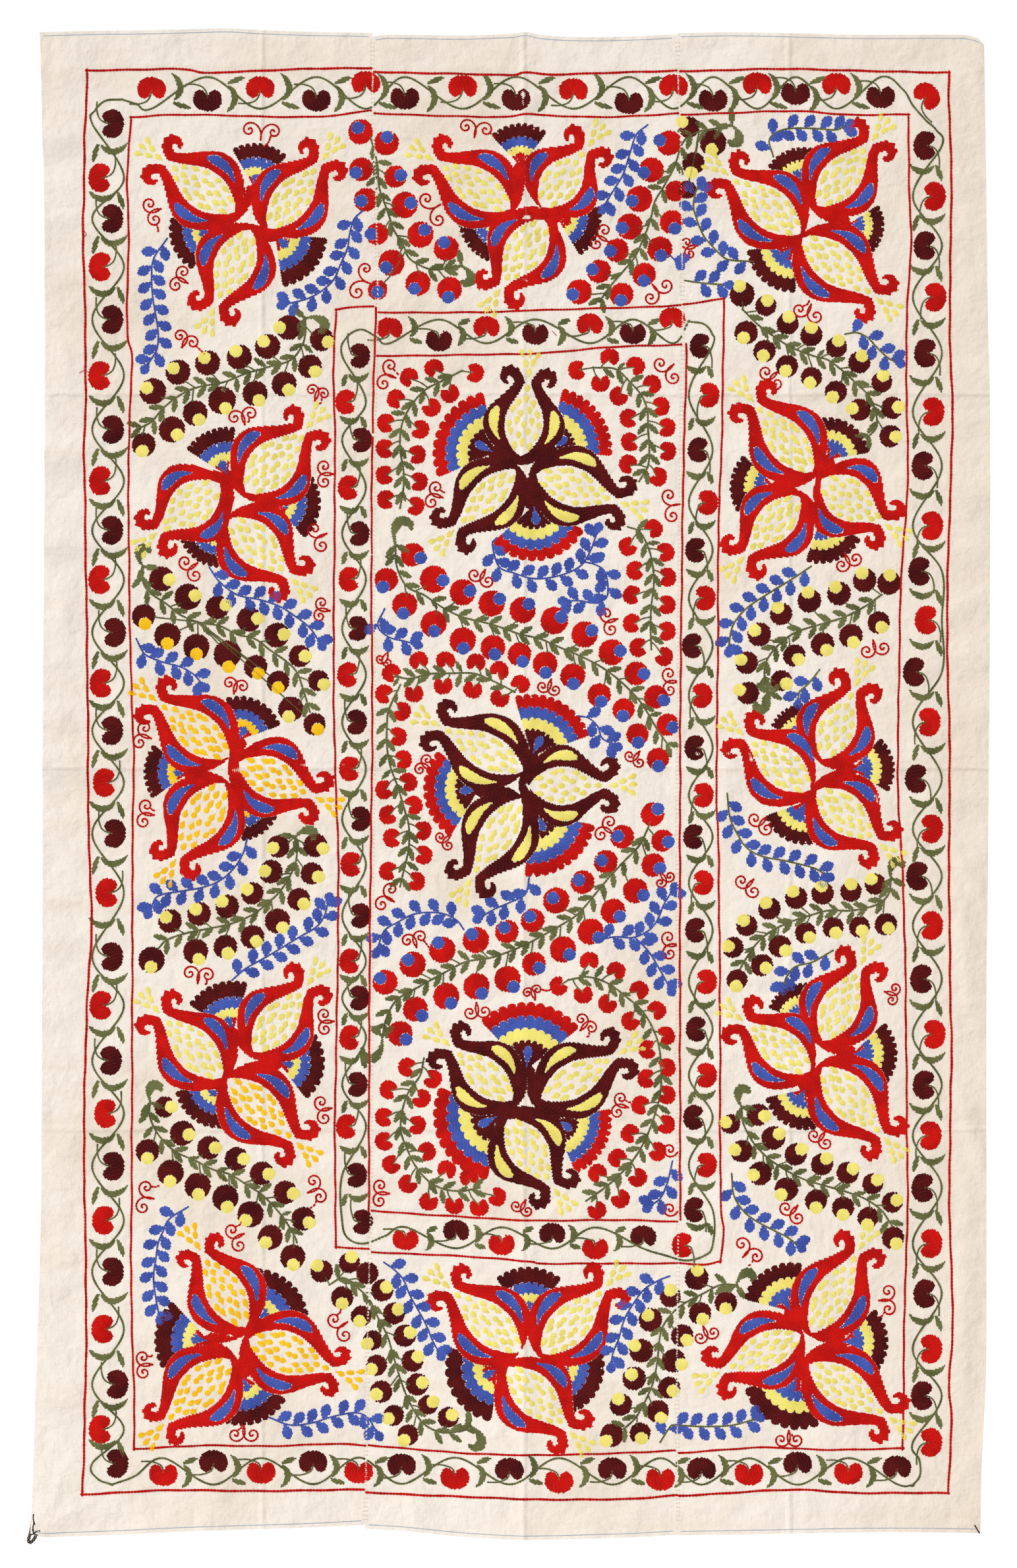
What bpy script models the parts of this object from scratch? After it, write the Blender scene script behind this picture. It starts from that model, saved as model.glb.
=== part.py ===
"""Embroidered wall hanging: three loom-width cotton panels sewn edge to edge, hanging from the top edge.

The front faces -Y, the width runs along X and the height along Z. The origin is the middle of the top edge.
The outline and the folds are set out in millimetres on a flat chart, where "across" runs to the right and
"down" runs downwards. Everything is turned into metres at the end.
"""

import math

import bmesh
import bpy
from mathutils import Vector
from mathutils.bvhtree import BVHTree

MM = 0.001

# Driving dimensions, in millimetres
CENTRE_ACROSS = 780.0
TOP_DOWN = 51.0
CLOTH_THICK = 1.5
HEM_THICK = 2.3
HEM_DEEP = 7.0
SEAM_GAP = 0.3
ROW_STEP = 46.0
ROW_NEAREST = 10.0
COLUMN_STEP = 42.0
LEVEL_FOLD = 32.0
FLAT_TOP = 12.0
FOLD_START = 60.0

# The loop of printed cloth strip that is sewn under the lower left corner
LOOP_STRIP_WIDE = 5.0
LOOP_STRIP_THICK = 1.4
LOOP_BEHIND = 0.3
LOOP_CLEAR = 40.0

# Outline of the whole cloth, as (down, across) for upright edges and (across, down) for level ones
LEFT_EDGE = (
    (49, 60), (60, 61), (180, 64), (300, 67), (420, 68), (600, 68.5), (780, 67.5), (1000, 66), (1200, 65),
    (1400, 65), (1600, 64), (1800, 63), (1950, 60), (2040, 57), (2160, 53), (2280, 49), (2331, 46),
)
LEFT_SEAM = (
    (49, 565), (150, 566), (300, 570), (465, 573), (560, 570), (700, 567), (900, 566), (1100, 567.5),
    (1300, 565), (1500, 563), (1840, 562), (2013, 558), (2331, 554),
)
RIGHT_SEAM = (
    (49, 1028), (120, 1029), (200, 1032), (400, 1035), (520, 1036), (620, 1034), (900, 1031), (1100, 1029),
    (1300, 1028), (1500, 1028), (1840, 1029), (2100, 1027), (2331, 1029),
)
RIGHT_EDGE = (
    (53, 1493), (120, 1494), (260, 1496), (480, 1499), (620, 1502), (900, 1502), (1100, 1501), (1340, 1499),
    (1500, 1497), (1800, 1497), (2040, 1497), (2100, 1496), (2220, 1490), (2329, 1488),
)
LEFT_TOP = ((60, 49), (140, 47), (220, 46), (300, 44), (345, 43), (400, 46), (460, 48), (565, 50))
LEFT_FOOT = (
    (45, 2326), (62, 2332), (100, 2332), (180, 2329), (260, 2325), (340, 2322), (460, 2319), (554, 2315),
)
MIDDLE_TOP = (
    (565, 56), (585, 53), (700, 54), (750, 52.5), (780, 51), (797, 48.5), (820, 53), (860, 56), (940, 56),
    (1028, 52),
)
MIDDLE_FOOT = (
    (554, 2321), (620, 2325), (700, 2333), (780, 2337), (820, 2337), (900, 2335), (980, 2332), (1028, 2329),
)
RIGHT_TOP = ((1028, 50.5), (1100, 49), (1180, 50), (1300, 53), (1460, 53), (1478, 56), (1488, 61), (1494, 69))
RIGHT_FOOT = ((1028, 2330), (1100, 2329), (1260, 2326), (1380, 2326), (1490, 2328))

# Columns: across, down, angle (degrees from level, turning down to the right), half length, half width,
# height towards the viewer
FOLDS = (
    # the pressed creases from when the cloth lay folded in store
    (797, 230, 90, 330, 13, 4.5),
    (798, 1300, 90, 620, 12, 3.2),
    (797, 2130, 90, 330, 13, 4.5),
    (300, 1164, -1, 420, 15, 3.5),
    (1200, 1150, 1, 420, 14, 2.8),
    (330, 592, 2, 330, 14, 2.2),
    (1330, 598, -1, 260, 14, 2.5),
    (1380, 1214, 2, 220, 12, 2.2),
    # ripples of the left margin, which the stiff embroidery lets flutter
    (60, 99, 3, 120, 14, 3.5),
    (60, 206, 3, 150, 26, 8.5),
    (70, 246, 2, 120, 22, -5.0),
    (70, 336, 1, 130, 16, 3.5),
    (75, 420, -4, 90, 18, 4.5),
    (105, 530, 97, 150, 16, 3.5),
    (60, 690, 4, 210, 24, 9.0),
    (65, 736, 3, 170, 24, -5.5),
    (60, 822, 2, 150, 22, 6.0),
    (96, 920, 84, 80, 13, 2.6),
    (60, 1003, -2, 150, 18, 3.6),
    (60, 1092, -8, 120, 16, 4.0),
    (60, 1152, 5, 190, 24, 8.0),
    (65, 1206, 4, 150, 26, -5.0),
    (60, 1424, -2, 130, 18, 3.4),
    (70, 1545, -10, 130, 18, 3.6),
    (60, 1958, -3, 130, 20, 3.4),
    (60, 2122, 3, 150, 22, 4.6),
    # folds that run out of the pulled lower left corner
    (95, 2306, -28, 75, 9, 4.0),
    (80, 2270, -58, 90, 12, 3.6),
    (120, 2326, -12, 80, 10, -2.6),
    # ripples of the right margin
    (1470, 105, 58, 80, 18, 3.6),
    (1500, 272, 1, 130, 20, 4.4),
    (1500, 352, -2, 120, 18, 3.0),
    (1500, 566, 4, 130, 16, 3.4),
    (1500, 648, -3, 120, 18, 3.6),
    (1500, 742, 0, 140, 20, 5.2),
    (1500, 838, -14, 120, 18, 3.4),
    (1500, 908, -18, 120, 18, 3.2),
    (1500, 992, -16, 120, 18, 3.4),
    (1500, 1086, -10, 120, 18, 3.2),
    (1466, 1450, 84, 150, 15, 4.6),
    (1468, 1325, 63, 90, 10, 2.8),
    (1480, 1735, 74, 110, 10, 3.4),
    (1462, 1980, 91, 260, 18, 4.6),
    (1485, 2200, -60, 110, 16, 3.4),
    # slack of the right panel beside its seam
    (1098, 1235, 96, 150, 15, 4.0),
    (1092, 1610, 98, 130, 14, 3.0),
    # slack of the bottom margin
    (330, 2292, 82, 60, 22, 2.6),
    (640, 2300, 88, 60, 24, 2.8),
    (960, 2296, 93, 60, 22, 2.6),
    (1235, 2294, 88, 60, 24, 2.4),
)

# Columns: wavelength across, phase, size at the foot: the slow waves of a cloth that hangs free
HANG_WAVES = ((910.0, 0.6, 4.5), (430.0, 2.2, 1.8))
CLOTH_DROP = 2290.0

# The strip's middle line below the corner, as (across, down), from its left end round to its right end
LOOP_ROUTE = (
    (50, 2306), (48, 2318), (46, 2328), (43.5, 2337), (45.5, 2341), (50, 2338), (53.5, 2333), (54.5, 2326),
)

CLOTH_COLOUR = (0.84, 0.79, 0.71, 1.0)
STRIP_COLOUR = (0.03, 0.025, 0.02, 1.0)


def smooth_line(table, at):
    """A smooth curve through a table's points, read at one place: cubic between points, straight outside."""
    places = [float(row[0]) for row in table]
    values = [float(row[1]) for row in table]
    last = len(places) - 1
    if at <= places[0]:
        return values[0]
    if at >= places[last]:
        return values[last]
    slopes = []
    for k in range(last + 1):
        low = max(k - 1, 0)
        high = min(k + 1, last)
        slopes.append((values[high] - values[low]) / (places[high] - places[low]))
    k = max(i for i in range(last) if places[i] <= at)
    span = places[k + 1] - places[k]
    share = (at - places[k]) / span
    rise = share * share * (3 - 2 * share)
    return (
        values[k] + (values[k + 1] - values[k]) * rise
        + span * slopes[k] * share * (1 - share) ** 2
        - span * slopes[k + 1] * share * share * (1 - share)
    )


def fold_height(across, down, fold):
    """How far one fold stands towards the viewer at a place on the chart."""
    centre_across, centre_down, angle, half_length, half_width, height = fold
    turn = math.radians(angle)
    east = across - centre_across
    south = down - centre_down
    along = (east * math.cos(turn) + south * math.sin(turn)) / half_length
    beside = (-east * math.sin(turn) + south * math.cos(turn)) / half_width
    if abs(along) >= 1 or abs(beside) >= 3:
        return 0.0
    window = (1 - along * along) ** 2
    return height * window * math.exp(-beside * beside)


def relief(across, down):
    """How far the cloth stands towards the viewer, in millimetres, at a place on the chart."""
    free = min(max((down - TOP_DOWN - FLAT_TOP) / FOLD_START, 0.0), 1.0)
    free = free * free * (3 - 2 * free)
    share = (down - TOP_DOWN) / CLOTH_DROP
    hang = sum(
        size * share * math.sin(2 * math.pi * across / wavelength + phase)
        for wavelength, phase, size in HANG_WAVES
    )
    return free * (hang + sum(fold_height(across, down, fold) for fold in FOLDS))


def place(across, down, behind=0.0):
    """A chart place as a point in the part's frame, in metres, some millimetres behind the cloth's front."""
    return Vector((
        (across - CENTRE_ACROSS) * MM,
        (behind - relief(across, down)) * MM,
        -(down - TOP_DOWN) * MM,
    ))


def even_shares(length, step, extra=()):
    """Shares of a length from 0 to 1, about a step apart, with extra ones close to where detail is needed."""
    count = max(1, round(length / step))
    shares = [k / count for k in range(1, count)]
    shares = [s for s in shares if all(abs(s - e) > 0.3 / count for e in extra)]
    return sorted([0.0, *shares, *extra, 1.0])


def row_places(left, right, upper, lower):
    """Levels, in millimetres down, for a panel's rows: on the crest and the flanks of each level fold that
    reaches the panel, and evenly in between."""
    wanted = []
    for across, down, angle, half_length, half_width, _ in FOLDS:
        past_left = smooth_line(left, down) < across + half_length
        past_right = across - half_length < smooth_line(right, down)
        if abs(angle) < LEVEL_FOLD and past_left and past_right:
            wanted += [down, down - half_width, down + half_width]
    levels = [upper + HEM_DEEP]
    for down in sorted(wanted) + [lower - HEM_DEEP]:
        if down - levels[-1] < ROW_NEAREST or down > lower - HEM_DEEP:
            continue
        steps = math.ceil((down - levels[-1]) / ROW_STEP)
        start = levels[-1]
        levels += [start + (down - start) * k / steps for k in range(1, steps + 1)]
    if lower - HEM_DEEP - levels[-1] > 0.001:
        levels[-1] = lower - HEM_DEEP
    return levels


def panel_mesh(name, left, right, top, foot, extra_columns=()):
    """A panel's closed solid: a front and a back sheet over the same grid, joined by a rim."""
    width = smooth_line(right, CLOTH_DROP / 2) - smooth_line(left, CLOTH_DROP / 2)
    upper_level = top[0][1]
    height = foot[0][1] - upper_level
    columns = even_shares(width, COLUMN_STEP, extra_columns)
    hem = HEM_DEEP / height
    levels = row_places(left, right, upper_level, foot[0][1])
    rows = [0.0] + [(level - upper_level) / height for level in levels] + [1.0]
    mesh = bmesh.new()
    front = []
    back = []
    for row in rows:
        in_hem = row < hem * 1.5 or row > 1 - hem * 1.5
        thick = HEM_THICK if in_hem else CLOTH_THICK
        front.append([])
        back.append([])
        for column in columns:
            guess = upper_level + row * height
            across = smooth_line(left, guess)
            across += (smooth_line(right, guess) - across) * column
            upper = smooth_line(top, across)
            down = upper + (smooth_line(foot, across) - upper) * row
            across = smooth_line(left, down)
            across += (smooth_line(right, down) - across) * column
            front[-1].append(mesh.verts.new(place(across, down)))
            back[-1].append(mesh.verts.new(place(across, down, thick)))
    for r in range(len(rows) - 1):
        for c in range(len(columns) - 1):
            mesh.faces.new((front[r][c], front[r + 1][c], front[r + 1][c + 1], front[r][c + 1]))
            mesh.faces.new((back[r][c], back[r][c + 1], back[r + 1][c + 1], back[r + 1][c]))
    rim = [(0, c) for c in range(len(columns) - 1)]
    rim += [(r, len(columns) - 1) for r in range(len(rows) - 1)]
    rim += [(len(rows) - 1, c) for c in range(len(columns) - 1, 0, -1)]
    rim += [(r, 0) for r in range(len(rows) - 1, 0, -1)]
    for (r, c), (next_r, next_c) in zip(rim, rim[1:] + rim[:1]):
        mesh.faces.new((front[r][c], front[next_r][next_c], back[next_r][next_c], back[r][c]))
    bmesh.ops.triangulate(mesh, faces=mesh.faces)
    bmesh.ops.recalc_face_normals(mesh, faces=mesh.faces)
    data = bpy.data.meshes.new(name)
    mesh.to_mesh(data)
    mesh.free()
    return data


def shifted(line, by):
    """An upright edge moved sideways, in millimetres."""
    return tuple((down, across + by) for down, across in line)


def loop_mesh(name):
    """The corner's strip: a flat band bent into a drop, with its ends lying behind the cloth."""
    count = 26
    ends = [0.0]
    for first, second in zip(LOOP_ROUTE, LOOP_ROUTE[1:]):
        ends.append(ends[-1] + math.dist(first, second))
    east = list(zip(ends, [p[0] for p in LOOP_ROUTE]))
    south = list(zip(ends, [p[1] for p in LOOP_ROUTE]))
    line = []
    for k in range(count + 1):
        run = ends[-1] * k / count
        line.append(Vector((smooth_line(east, run), smooth_line(south, run))))
    mesh = bmesh.new()
    rings = []
    half = LOOP_STRIP_THICK / 2
    for k, point in enumerate(line):
        ahead = line[min(k + 1, count)] - line[max(k - 1, 0)]
        side = Vector((-ahead.y, ahead.x)).normalized() * half
        ring = []
        for sign, deep in ((1, 0.0), (-1, 0.0), (-1, LOOP_STRIP_WIDE), (1, LOOP_STRIP_WIDE)):
            spot = point + sign * side
            ring.append(mesh.verts.new((
                (spot.x - CENTRE_ACROSS) * MM, (LOOP_CLEAR + deep) * MM, -(spot.y - TOP_DOWN) * MM,
            )))
        rings.append(ring)
    for first, second in zip(rings, rings[1:]):
        for k in range(4):
            mesh.faces.new((first[k], first[(k + 1) % 4], second[(k + 1) % 4], second[k]))
    mesh.faces.new(rings[0][::-1])
    mesh.faces.new(rings[-1])
    bmesh.ops.recalc_face_normals(mesh, faces=mesh.faces)
    data = bpy.data.meshes.new(name)
    mesh.to_mesh(data)
    mesh.free()
    return data


def seat_behind(loop, panel):
    """Moves the loop up to the panel's back, leaving the small gap at the place that comes nearest."""
    cloth = BVHTree.FromPolygons([v.co for v in panel.vertices], [p.vertices for p in panel.polygons])
    gaps = []
    for vertex in loop.vertices:
        _, _, _, gap = cloth.ray_cast(vertex.co, Vector((0, -1, 0)))
        if gap is not None and vertex.co.y < LOOP_CLEAR * MM * 1.001:
            gaps.append(gap)
    for vertex in loop.vertices:
        vertex.co.y -= min(gaps) - LOOP_BEHIND * MM


def cloth_material(name, colour):
    """A matt cloth finish of one colour."""
    material = bpy.data.materials.new(name)
    material.use_nodes = True
    shader = material.node_tree.nodes["Principled BSDF"]
    shader.inputs["Base Color"].default_value = colour
    shader.inputs["Roughness"].default_value = 0.9
    shader.inputs["Metallic"].default_value = 0.0
    return material


def add(name, data, material):
    """Links a mesh to the scene as a smooth-shaded object with its material."""
    item = bpy.data.objects.new(name, data)
    data.materials.append(material)
    data.shade_smooth()
    data.set_sharp_from_angle(angle=math.radians(40))
    bpy.context.scene.collection.objects.link(item)
    return item


def main():
    """Clears the scene and builds the three panels and the corner loop."""
    for item in list(bpy.data.objects):
        bpy.data.objects.remove(item)
    half_gap = SEAM_GAP / 2
    cotton = cloth_material("unbleached_cotton", CLOTH_COLOUR)
    left_sides = (shifted(LEFT_SEAM, -half_gap), shifted(LEFT_SEAM, half_gap))
    right_sides = (shifted(RIGHT_SEAM, -half_gap), shifted(RIGHT_SEAM, half_gap))
    panels = (
        ("panel_left", LEFT_EDGE, left_sides[0], LEFT_TOP, LEFT_FOOT, (0.01, 0.03)),
        ("panel_middle", left_sides[1], right_sides[0], MIDDLE_TOP, MIDDLE_FOOT, (0.465, 0.5, 0.535)),
        ("panel_right", right_sides[1], RIGHT_EDGE, RIGHT_TOP, RIGHT_FOOT, (0.965, 0.985)),
    )
    sheets = {}
    for name, left, right, top, foot, extra in panels:
        sheets[name] = panel_mesh(name, left, right, top, foot, extra)
        add(name, sheets[name], cotton)
    loop = loop_mesh("corner_loop")
    seat_behind(loop, sheets["panel_left"])
    add("corner_loop", loop, cloth_material("printed_strip", STRIP_COLOUR))


main()
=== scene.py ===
"""Looks of the embroidered wall hanging: three cotton panels, laid-thread fills, chain-stitch lines and
the corner loop, with a plain studio round them.

Everything is set out in millimetres on a flat chart, where "across" runs to the right and "down" runs
downwards, and it is turned into metres when a mesh is made. The cloth's front faces -Y.
"""

import logging
import math
from dataclasses import dataclass, field
from enum import Enum
from typing import Iterable, Sequence

import bpy
import numpy as np
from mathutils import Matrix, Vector


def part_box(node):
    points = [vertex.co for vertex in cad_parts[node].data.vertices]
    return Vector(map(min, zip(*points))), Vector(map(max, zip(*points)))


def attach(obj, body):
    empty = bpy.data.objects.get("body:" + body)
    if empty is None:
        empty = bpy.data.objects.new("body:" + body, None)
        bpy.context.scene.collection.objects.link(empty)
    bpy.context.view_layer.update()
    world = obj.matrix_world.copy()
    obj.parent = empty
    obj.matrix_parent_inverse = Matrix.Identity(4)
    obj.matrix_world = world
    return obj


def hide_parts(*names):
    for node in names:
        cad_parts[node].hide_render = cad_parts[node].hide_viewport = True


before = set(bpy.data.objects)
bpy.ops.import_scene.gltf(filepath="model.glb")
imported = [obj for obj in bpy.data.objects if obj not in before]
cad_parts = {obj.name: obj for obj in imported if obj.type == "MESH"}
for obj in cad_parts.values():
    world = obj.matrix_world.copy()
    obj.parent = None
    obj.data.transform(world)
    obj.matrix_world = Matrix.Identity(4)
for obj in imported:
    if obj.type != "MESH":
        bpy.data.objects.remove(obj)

LOG = logging.getLogger("hanging")
MM = 0.001
CENTRE_ACROSS = 780.0
TOP_DOWN = 51.0
CLOTH_DROP = 2290.0
CLOTH_THICK = 1.5
HEM_THICK = 2.3
HEM_DEEP = 7.0
HALF_SEAM = 0.15
FLAT_TOP = 12.0
FOLD_START = 60.0
GRID_STEP = 9.0
SEED = 20

Table = Sequence[tuple[float, float]]
Place = tuple[float, float]

def rows_of(text: str) -> tuple[tuple[float, ...], ...]:
    """A table written in plain numbers, with a comma between its rows."""
    return tuple(tuple(float(number) for number in row.split()) for row in text.split(","))


LEFT_EDGE = rows_of("""
    49 60, 60 61, 180 64, 300 67, 420 68, 600 68.5, 780 67.5, 1000 66, 1200 65, 1400 65, 1600 64, 1800 63,
    1950 60, 2040 57, 2160 53, 2280 49, 2331 46""")
LEFT_SEAM = rows_of("""
    49 565, 150 566, 300 570, 465 573, 560 570, 700 567, 900 566, 1100 567.5, 1300 565, 1500 563,
    1840 562, 2013 558, 2331 554""")
RIGHT_SEAM = rows_of("""
    49 1028, 120 1029, 200 1032, 400 1035, 520 1036, 620 1034, 900 1031, 1100 1029, 1300 1028, 1500 1028,
    1840 1029, 2100 1027, 2331 1029""")
RIGHT_EDGE = rows_of("""
    53 1493, 120 1494, 260 1496, 480 1499, 620 1502, 900 1502, 1100 1501, 1340 1499, 1500 1497, 1800 1497,
    2040 1497, 2100 1496, 2220 1490, 2329 1488""")
LEFT_TOP = rows_of("60 49, 140 47, 220 46, 300 44, 345 43, 400 46, 460 48, 565 50")
LEFT_FOOT = rows_of("45 2326, 62 2332, 100 2332, 180 2329, 260 2325, 340 2322, 460 2319, 554 2315")
MIDDLE_TOP = rows_of("565 56, 585 53, 700 54, 750 52.5, 780 51, 797 48.5, 820 53, 860 56, 940 56, 1028 52")
MIDDLE_FOOT = rows_of("554 2321, 620 2325, 700 2333, 780 2337, 820 2337, 900 2335, 980 2332, 1028 2329")
RIGHT_TOP = rows_of("1028 50.5, 1100 49, 1180 50, 1300 53, 1460 53, 1478 56, 1488 61, 1494 69")
RIGHT_FOOT = rows_of("1028 2330, 1100 2329, 1260 2326, 1380 2326, 1490 2328")

# Columns: across, down, angle, half length, half width, height towards the viewer
FOLDS = rows_of("""
    797 230 90 330 13 4.5, 798 1300 90 620 12 3.2, 797 2130 90 330 13 4.5, 300 1164 -1 420 15 3.5,
    1200 1150 1 420 14 2.8, 330 592 2 330 14 2.2, 1330 598 -1 260 14 2.5, 1380 1214 2 220 12 2.2,
    60 99 3 120 14 3.5, 60 206 3 150 26 8.5, 70 246 2 120 22 -5.0, 70 336 1 130 16 3.5,
    75 420 -4 90 18 4.5, 105 530 97 150 16 3.5, 60 690 4 210 24 9.0, 65 736 3 170 24 -5.5,
    60 822 2 150 22 6.0, 96 920 84 80 13 2.6, 60 1003 -2 150 18 3.6, 60 1092 -8 120 16 4.0,
    60 1152 5 190 24 8.0, 65 1206 4 150 26 -5.0, 60 1424 -2 130 18 3.4, 70 1545 -10 130 18 3.6,
    60 1958 -3 130 20 3.4, 60 2122 3 150 22 4.6, 95 2306 -28 75 9 4.0, 80 2270 -58 90 12 3.6,
    120 2326 -12 80 10 -2.6, 1470 105 58 80 18 3.6, 1500 272 1 130 20 4.4, 1500 352 -2 120 18 3.0,
    1500 566 4 130 16 3.4, 1500 648 -3 120 18 3.6, 1500 742 0 140 20 5.2, 1500 838 -14 120 18 3.4,
    1500 908 -18 120 18 3.2, 1500 992 -16 120 18 3.4, 1500 1086 -10 120 18 3.2, 1466 1450 84 150 15 4.6,
    1468 1325 63 90 10 2.8, 1480 1735 74 110 10 3.4, 1462 1980 91 260 18 4.6, 1485 2200 -60 110 16 3.4,
    1098 1235 96 150 15 4.0, 1092 1610 98 130 14 3.0, 330 2292 82 60 22 2.6, 640 2300 88 60 24 2.8,
    960 2296 93 60 22 2.6, 1235 2294 88 60 24 2.4""")
HANG_WAVES = ((910.0, 0.6, 4.5), (430.0, 2.2, 1.8))
LOOP_ROUTE = rows_of("50 2306, 48 2318, 46 2328, 43.5 2337, 45.5 2341, 50 2338, 53.5 2333, 54.5 2326")


class Thread(Enum):
    """The threads that the hanging is sewn with, each with the record's material slot."""

    RED = "red_thread"
    MAROON = "maroon_thread"
    BLUE = "blue_thread"
    YELLOW = "yellow_thread"
    GREEN = "green_thread"
    AMBER = "amber_thread"
    HEM_BLUE = "hem_blue"
    SEAM = "seam"
    BLACK = "black"

    @property
    def slot(self) -> str:
        """The material slot of the record that this thread takes its finish from."""
        other = {Thread.HEM_BLUE: "blue_thread", Thread.SEAM: "cotton", Thread.BLACK: "printed_strip"}
        return other.get(self, self.value)


def linear(red: float, green: float, blue: float) -> tuple[float, float, float, float]:
    """An sRGB colour, 0 to 255, as the linear colour that a shader takes.

    Args:
        red: The red share.
        green: The green share.
        blue: The blue share.

    Returns:
        Linear red, green and blue with an alpha of 1.
    """
    shares = [c / 255 for c in (red, green, blue)]
    values = [c / 12.92 if c <= 0.04045 else ((c + 0.055) / 1.055) ** 2.4 for c in shares]
    return (values[0], values[1], values[2], 1.0)


class Nodes:
    """A short way to lay out one node tree."""

    def __init__(self, tree: bpy.types.NodeTree) -> None:
        """Keeps the tree that nodes are added to."""
        self.tree = tree

    def add(self, kind: str, values: dict | None = None, **settings: object) -> bpy.types.Node:
        """Adds one node.

        Args:
            kind: The node's type name.
            values: Input number or name, with a value or an output socket to link from.
            settings: Properties of the node itself.

        Returns:
            The new node.
        """
        node = self.tree.nodes.new(kind)
        for name, value in settings.items():
            setattr(node, name, value)
        for key, value in (values or {}).items():
            if isinstance(value, bpy.types.NodeSocket):
                self.tree.links.new(value, node.inputs[key])
            else:
                node.inputs[key].default_value = value
        return node

    def math(self, operation: str, *values: object) -> bpy.types.NodeSocket:
        """A Math node's result for the given values or sockets."""
        return self.add("ShaderNodeMath", dict(enumerate(values)), operation=operation).outputs[0]

    def mix(self, share: object, first: object, second: object) -> bpy.types.NodeSocket:
        """A colour mixed from two by a share."""
        node = self.add("ShaderNodeMix", {0: share, 6: first, 7: second}, data_type="RGBA")
        return node.outputs[2]

    def noise(self, place: object, scale: float, detail: float, rough: float = 0.5) -> bpy.types.NodeSocket:
        """A noise texture's value at a place."""
        values = {"Vector": place, "Scale": scale, "Detail": detail, "Roughness": rough}
        return self.add("ShaderNodeTexNoise", values).outputs[0]

    def ramp(self, value: bpy.types.NodeSocket, low: float, high: float) -> bpy.types.NodeSocket:
        """A value brought smoothly from 0 at low to 1 at high."""
        node = self.add("ShaderNodeMapRange", {0: value, 1: low, 2: high}, interpolation_type="SMOOTHSTEP")
        return node.outputs[0]


def new_paint(name: str) -> tuple[bpy.types.Material, Nodes, bpy.types.Node]:
    """Starts a material.

    Args:
        name: Its name.

    Returns:
        The material, a layout for its nodes, and its shader.
    """
    material = bpy.data.materials.new(name)
    material.use_nodes = True
    return material, Nodes(material.node_tree), material.node_tree.nodes["Principled BSDF"]


@dataclass(frozen=True)
class ThreadFinish:
    """Laid cotton and silk thread: rows tied down by small slanting stitches, uneven in dye."""

    name: str
    colour: tuple[float, float, float, float]
    speck: tuple[float, float, float, float]
    shade: tuple[float, float, float, float]
    tie_every: float = 5.4
    tie_slant: float = 0.29
    roughness: float = 0.7
    sheen: float = 0.03

    def material(self) -> bpy.types.Material:
        """Builds the finish from the piece's own row map: along the row in millimetres, and row number."""
        material, nodes, shader = new_paint(self.name)
        rows = nodes.add("ShaderNodeUVMap", uv_map="rows").outputs[0]
        parts = nodes.add("ShaderNodeSeparateXYZ", {0: rows})
        along, row = parts.outputs[0], parts.outputs[1]
        number = nodes.math("FLOOR", row)
        beside = nodes.math("FRACT", row)
        place = nodes.add("ShaderNodeTexCoord").outputs["Object"]
        cloudy = nodes.noise(place, 24.0, 4.0, 0.6)
        fuzzy = nodes.noise(place, 900.0, 2.0)
        uneven = nodes.add("ShaderNodeTexWhiteNoise", {"W": number}, noise_dimensions="1D")
        turn = nodes.math("ADD", nodes.math("DIVIDE", along, self.tie_every),
                          nodes.math("MULTIPLY", nodes.math("ADD", number, beside), self.tie_slant))
        tie = nodes.math("ABSOLUTE", nodes.math("SUBTRACT", nodes.math("FRACT", turn), 0.5))
        tied = nodes.ramp(tie, 0.36, 0.5)
        tied = nodes.math("MULTIPLY", tied, nodes.ramp(fuzzy, 0.38, 0.62))
        dyed = nodes.mix(nodes.ramp(cloudy, 0.38, 0.66), self.colour, self.shade)
        rowed = nodes.mix(nodes.math("MULTIPLY", uneven.outputs[0], 0.32), dyed, self.shade)
        specked = nodes.mix(nodes.math("MULTIPLY", tied, 0.55), rowed, self.speck)
        strand = nodes.math("SINE", nodes.math("ADD", nodes.math("MULTIPLY", beside, 2 * math.pi * 2),
                                               nodes.math("MULTIPLY", along, 1.1)))
        height = nodes.math("ADD", nodes.math("MULTIPLY", strand, 0.22), nodes.math("MULTIPLY", tied, -0.8))
        height = nodes.math("ADD", height, nodes.math("MULTIPLY", fuzzy, 0.5))
        bump = nodes.add("ShaderNodeBump", {"Strength": 0.6, "Distance": 0.0004, "Height": height})
        links = material.node_tree.links
        links.new(specked, shader.inputs["Base Color"])
        links.new(bump.outputs[0], shader.inputs["Normal"])
        shader.inputs["Roughness"].default_value = self.roughness
        shader.inputs["Specular IOR Level"].default_value = 0.08
        shader.inputs["Sheen Weight"].default_value = self.sheen
        shader.inputs["Sheen Tint"].default_value = self.speck
        shader.inputs["Sheen Roughness"].default_value = 0.5
        return material


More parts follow.
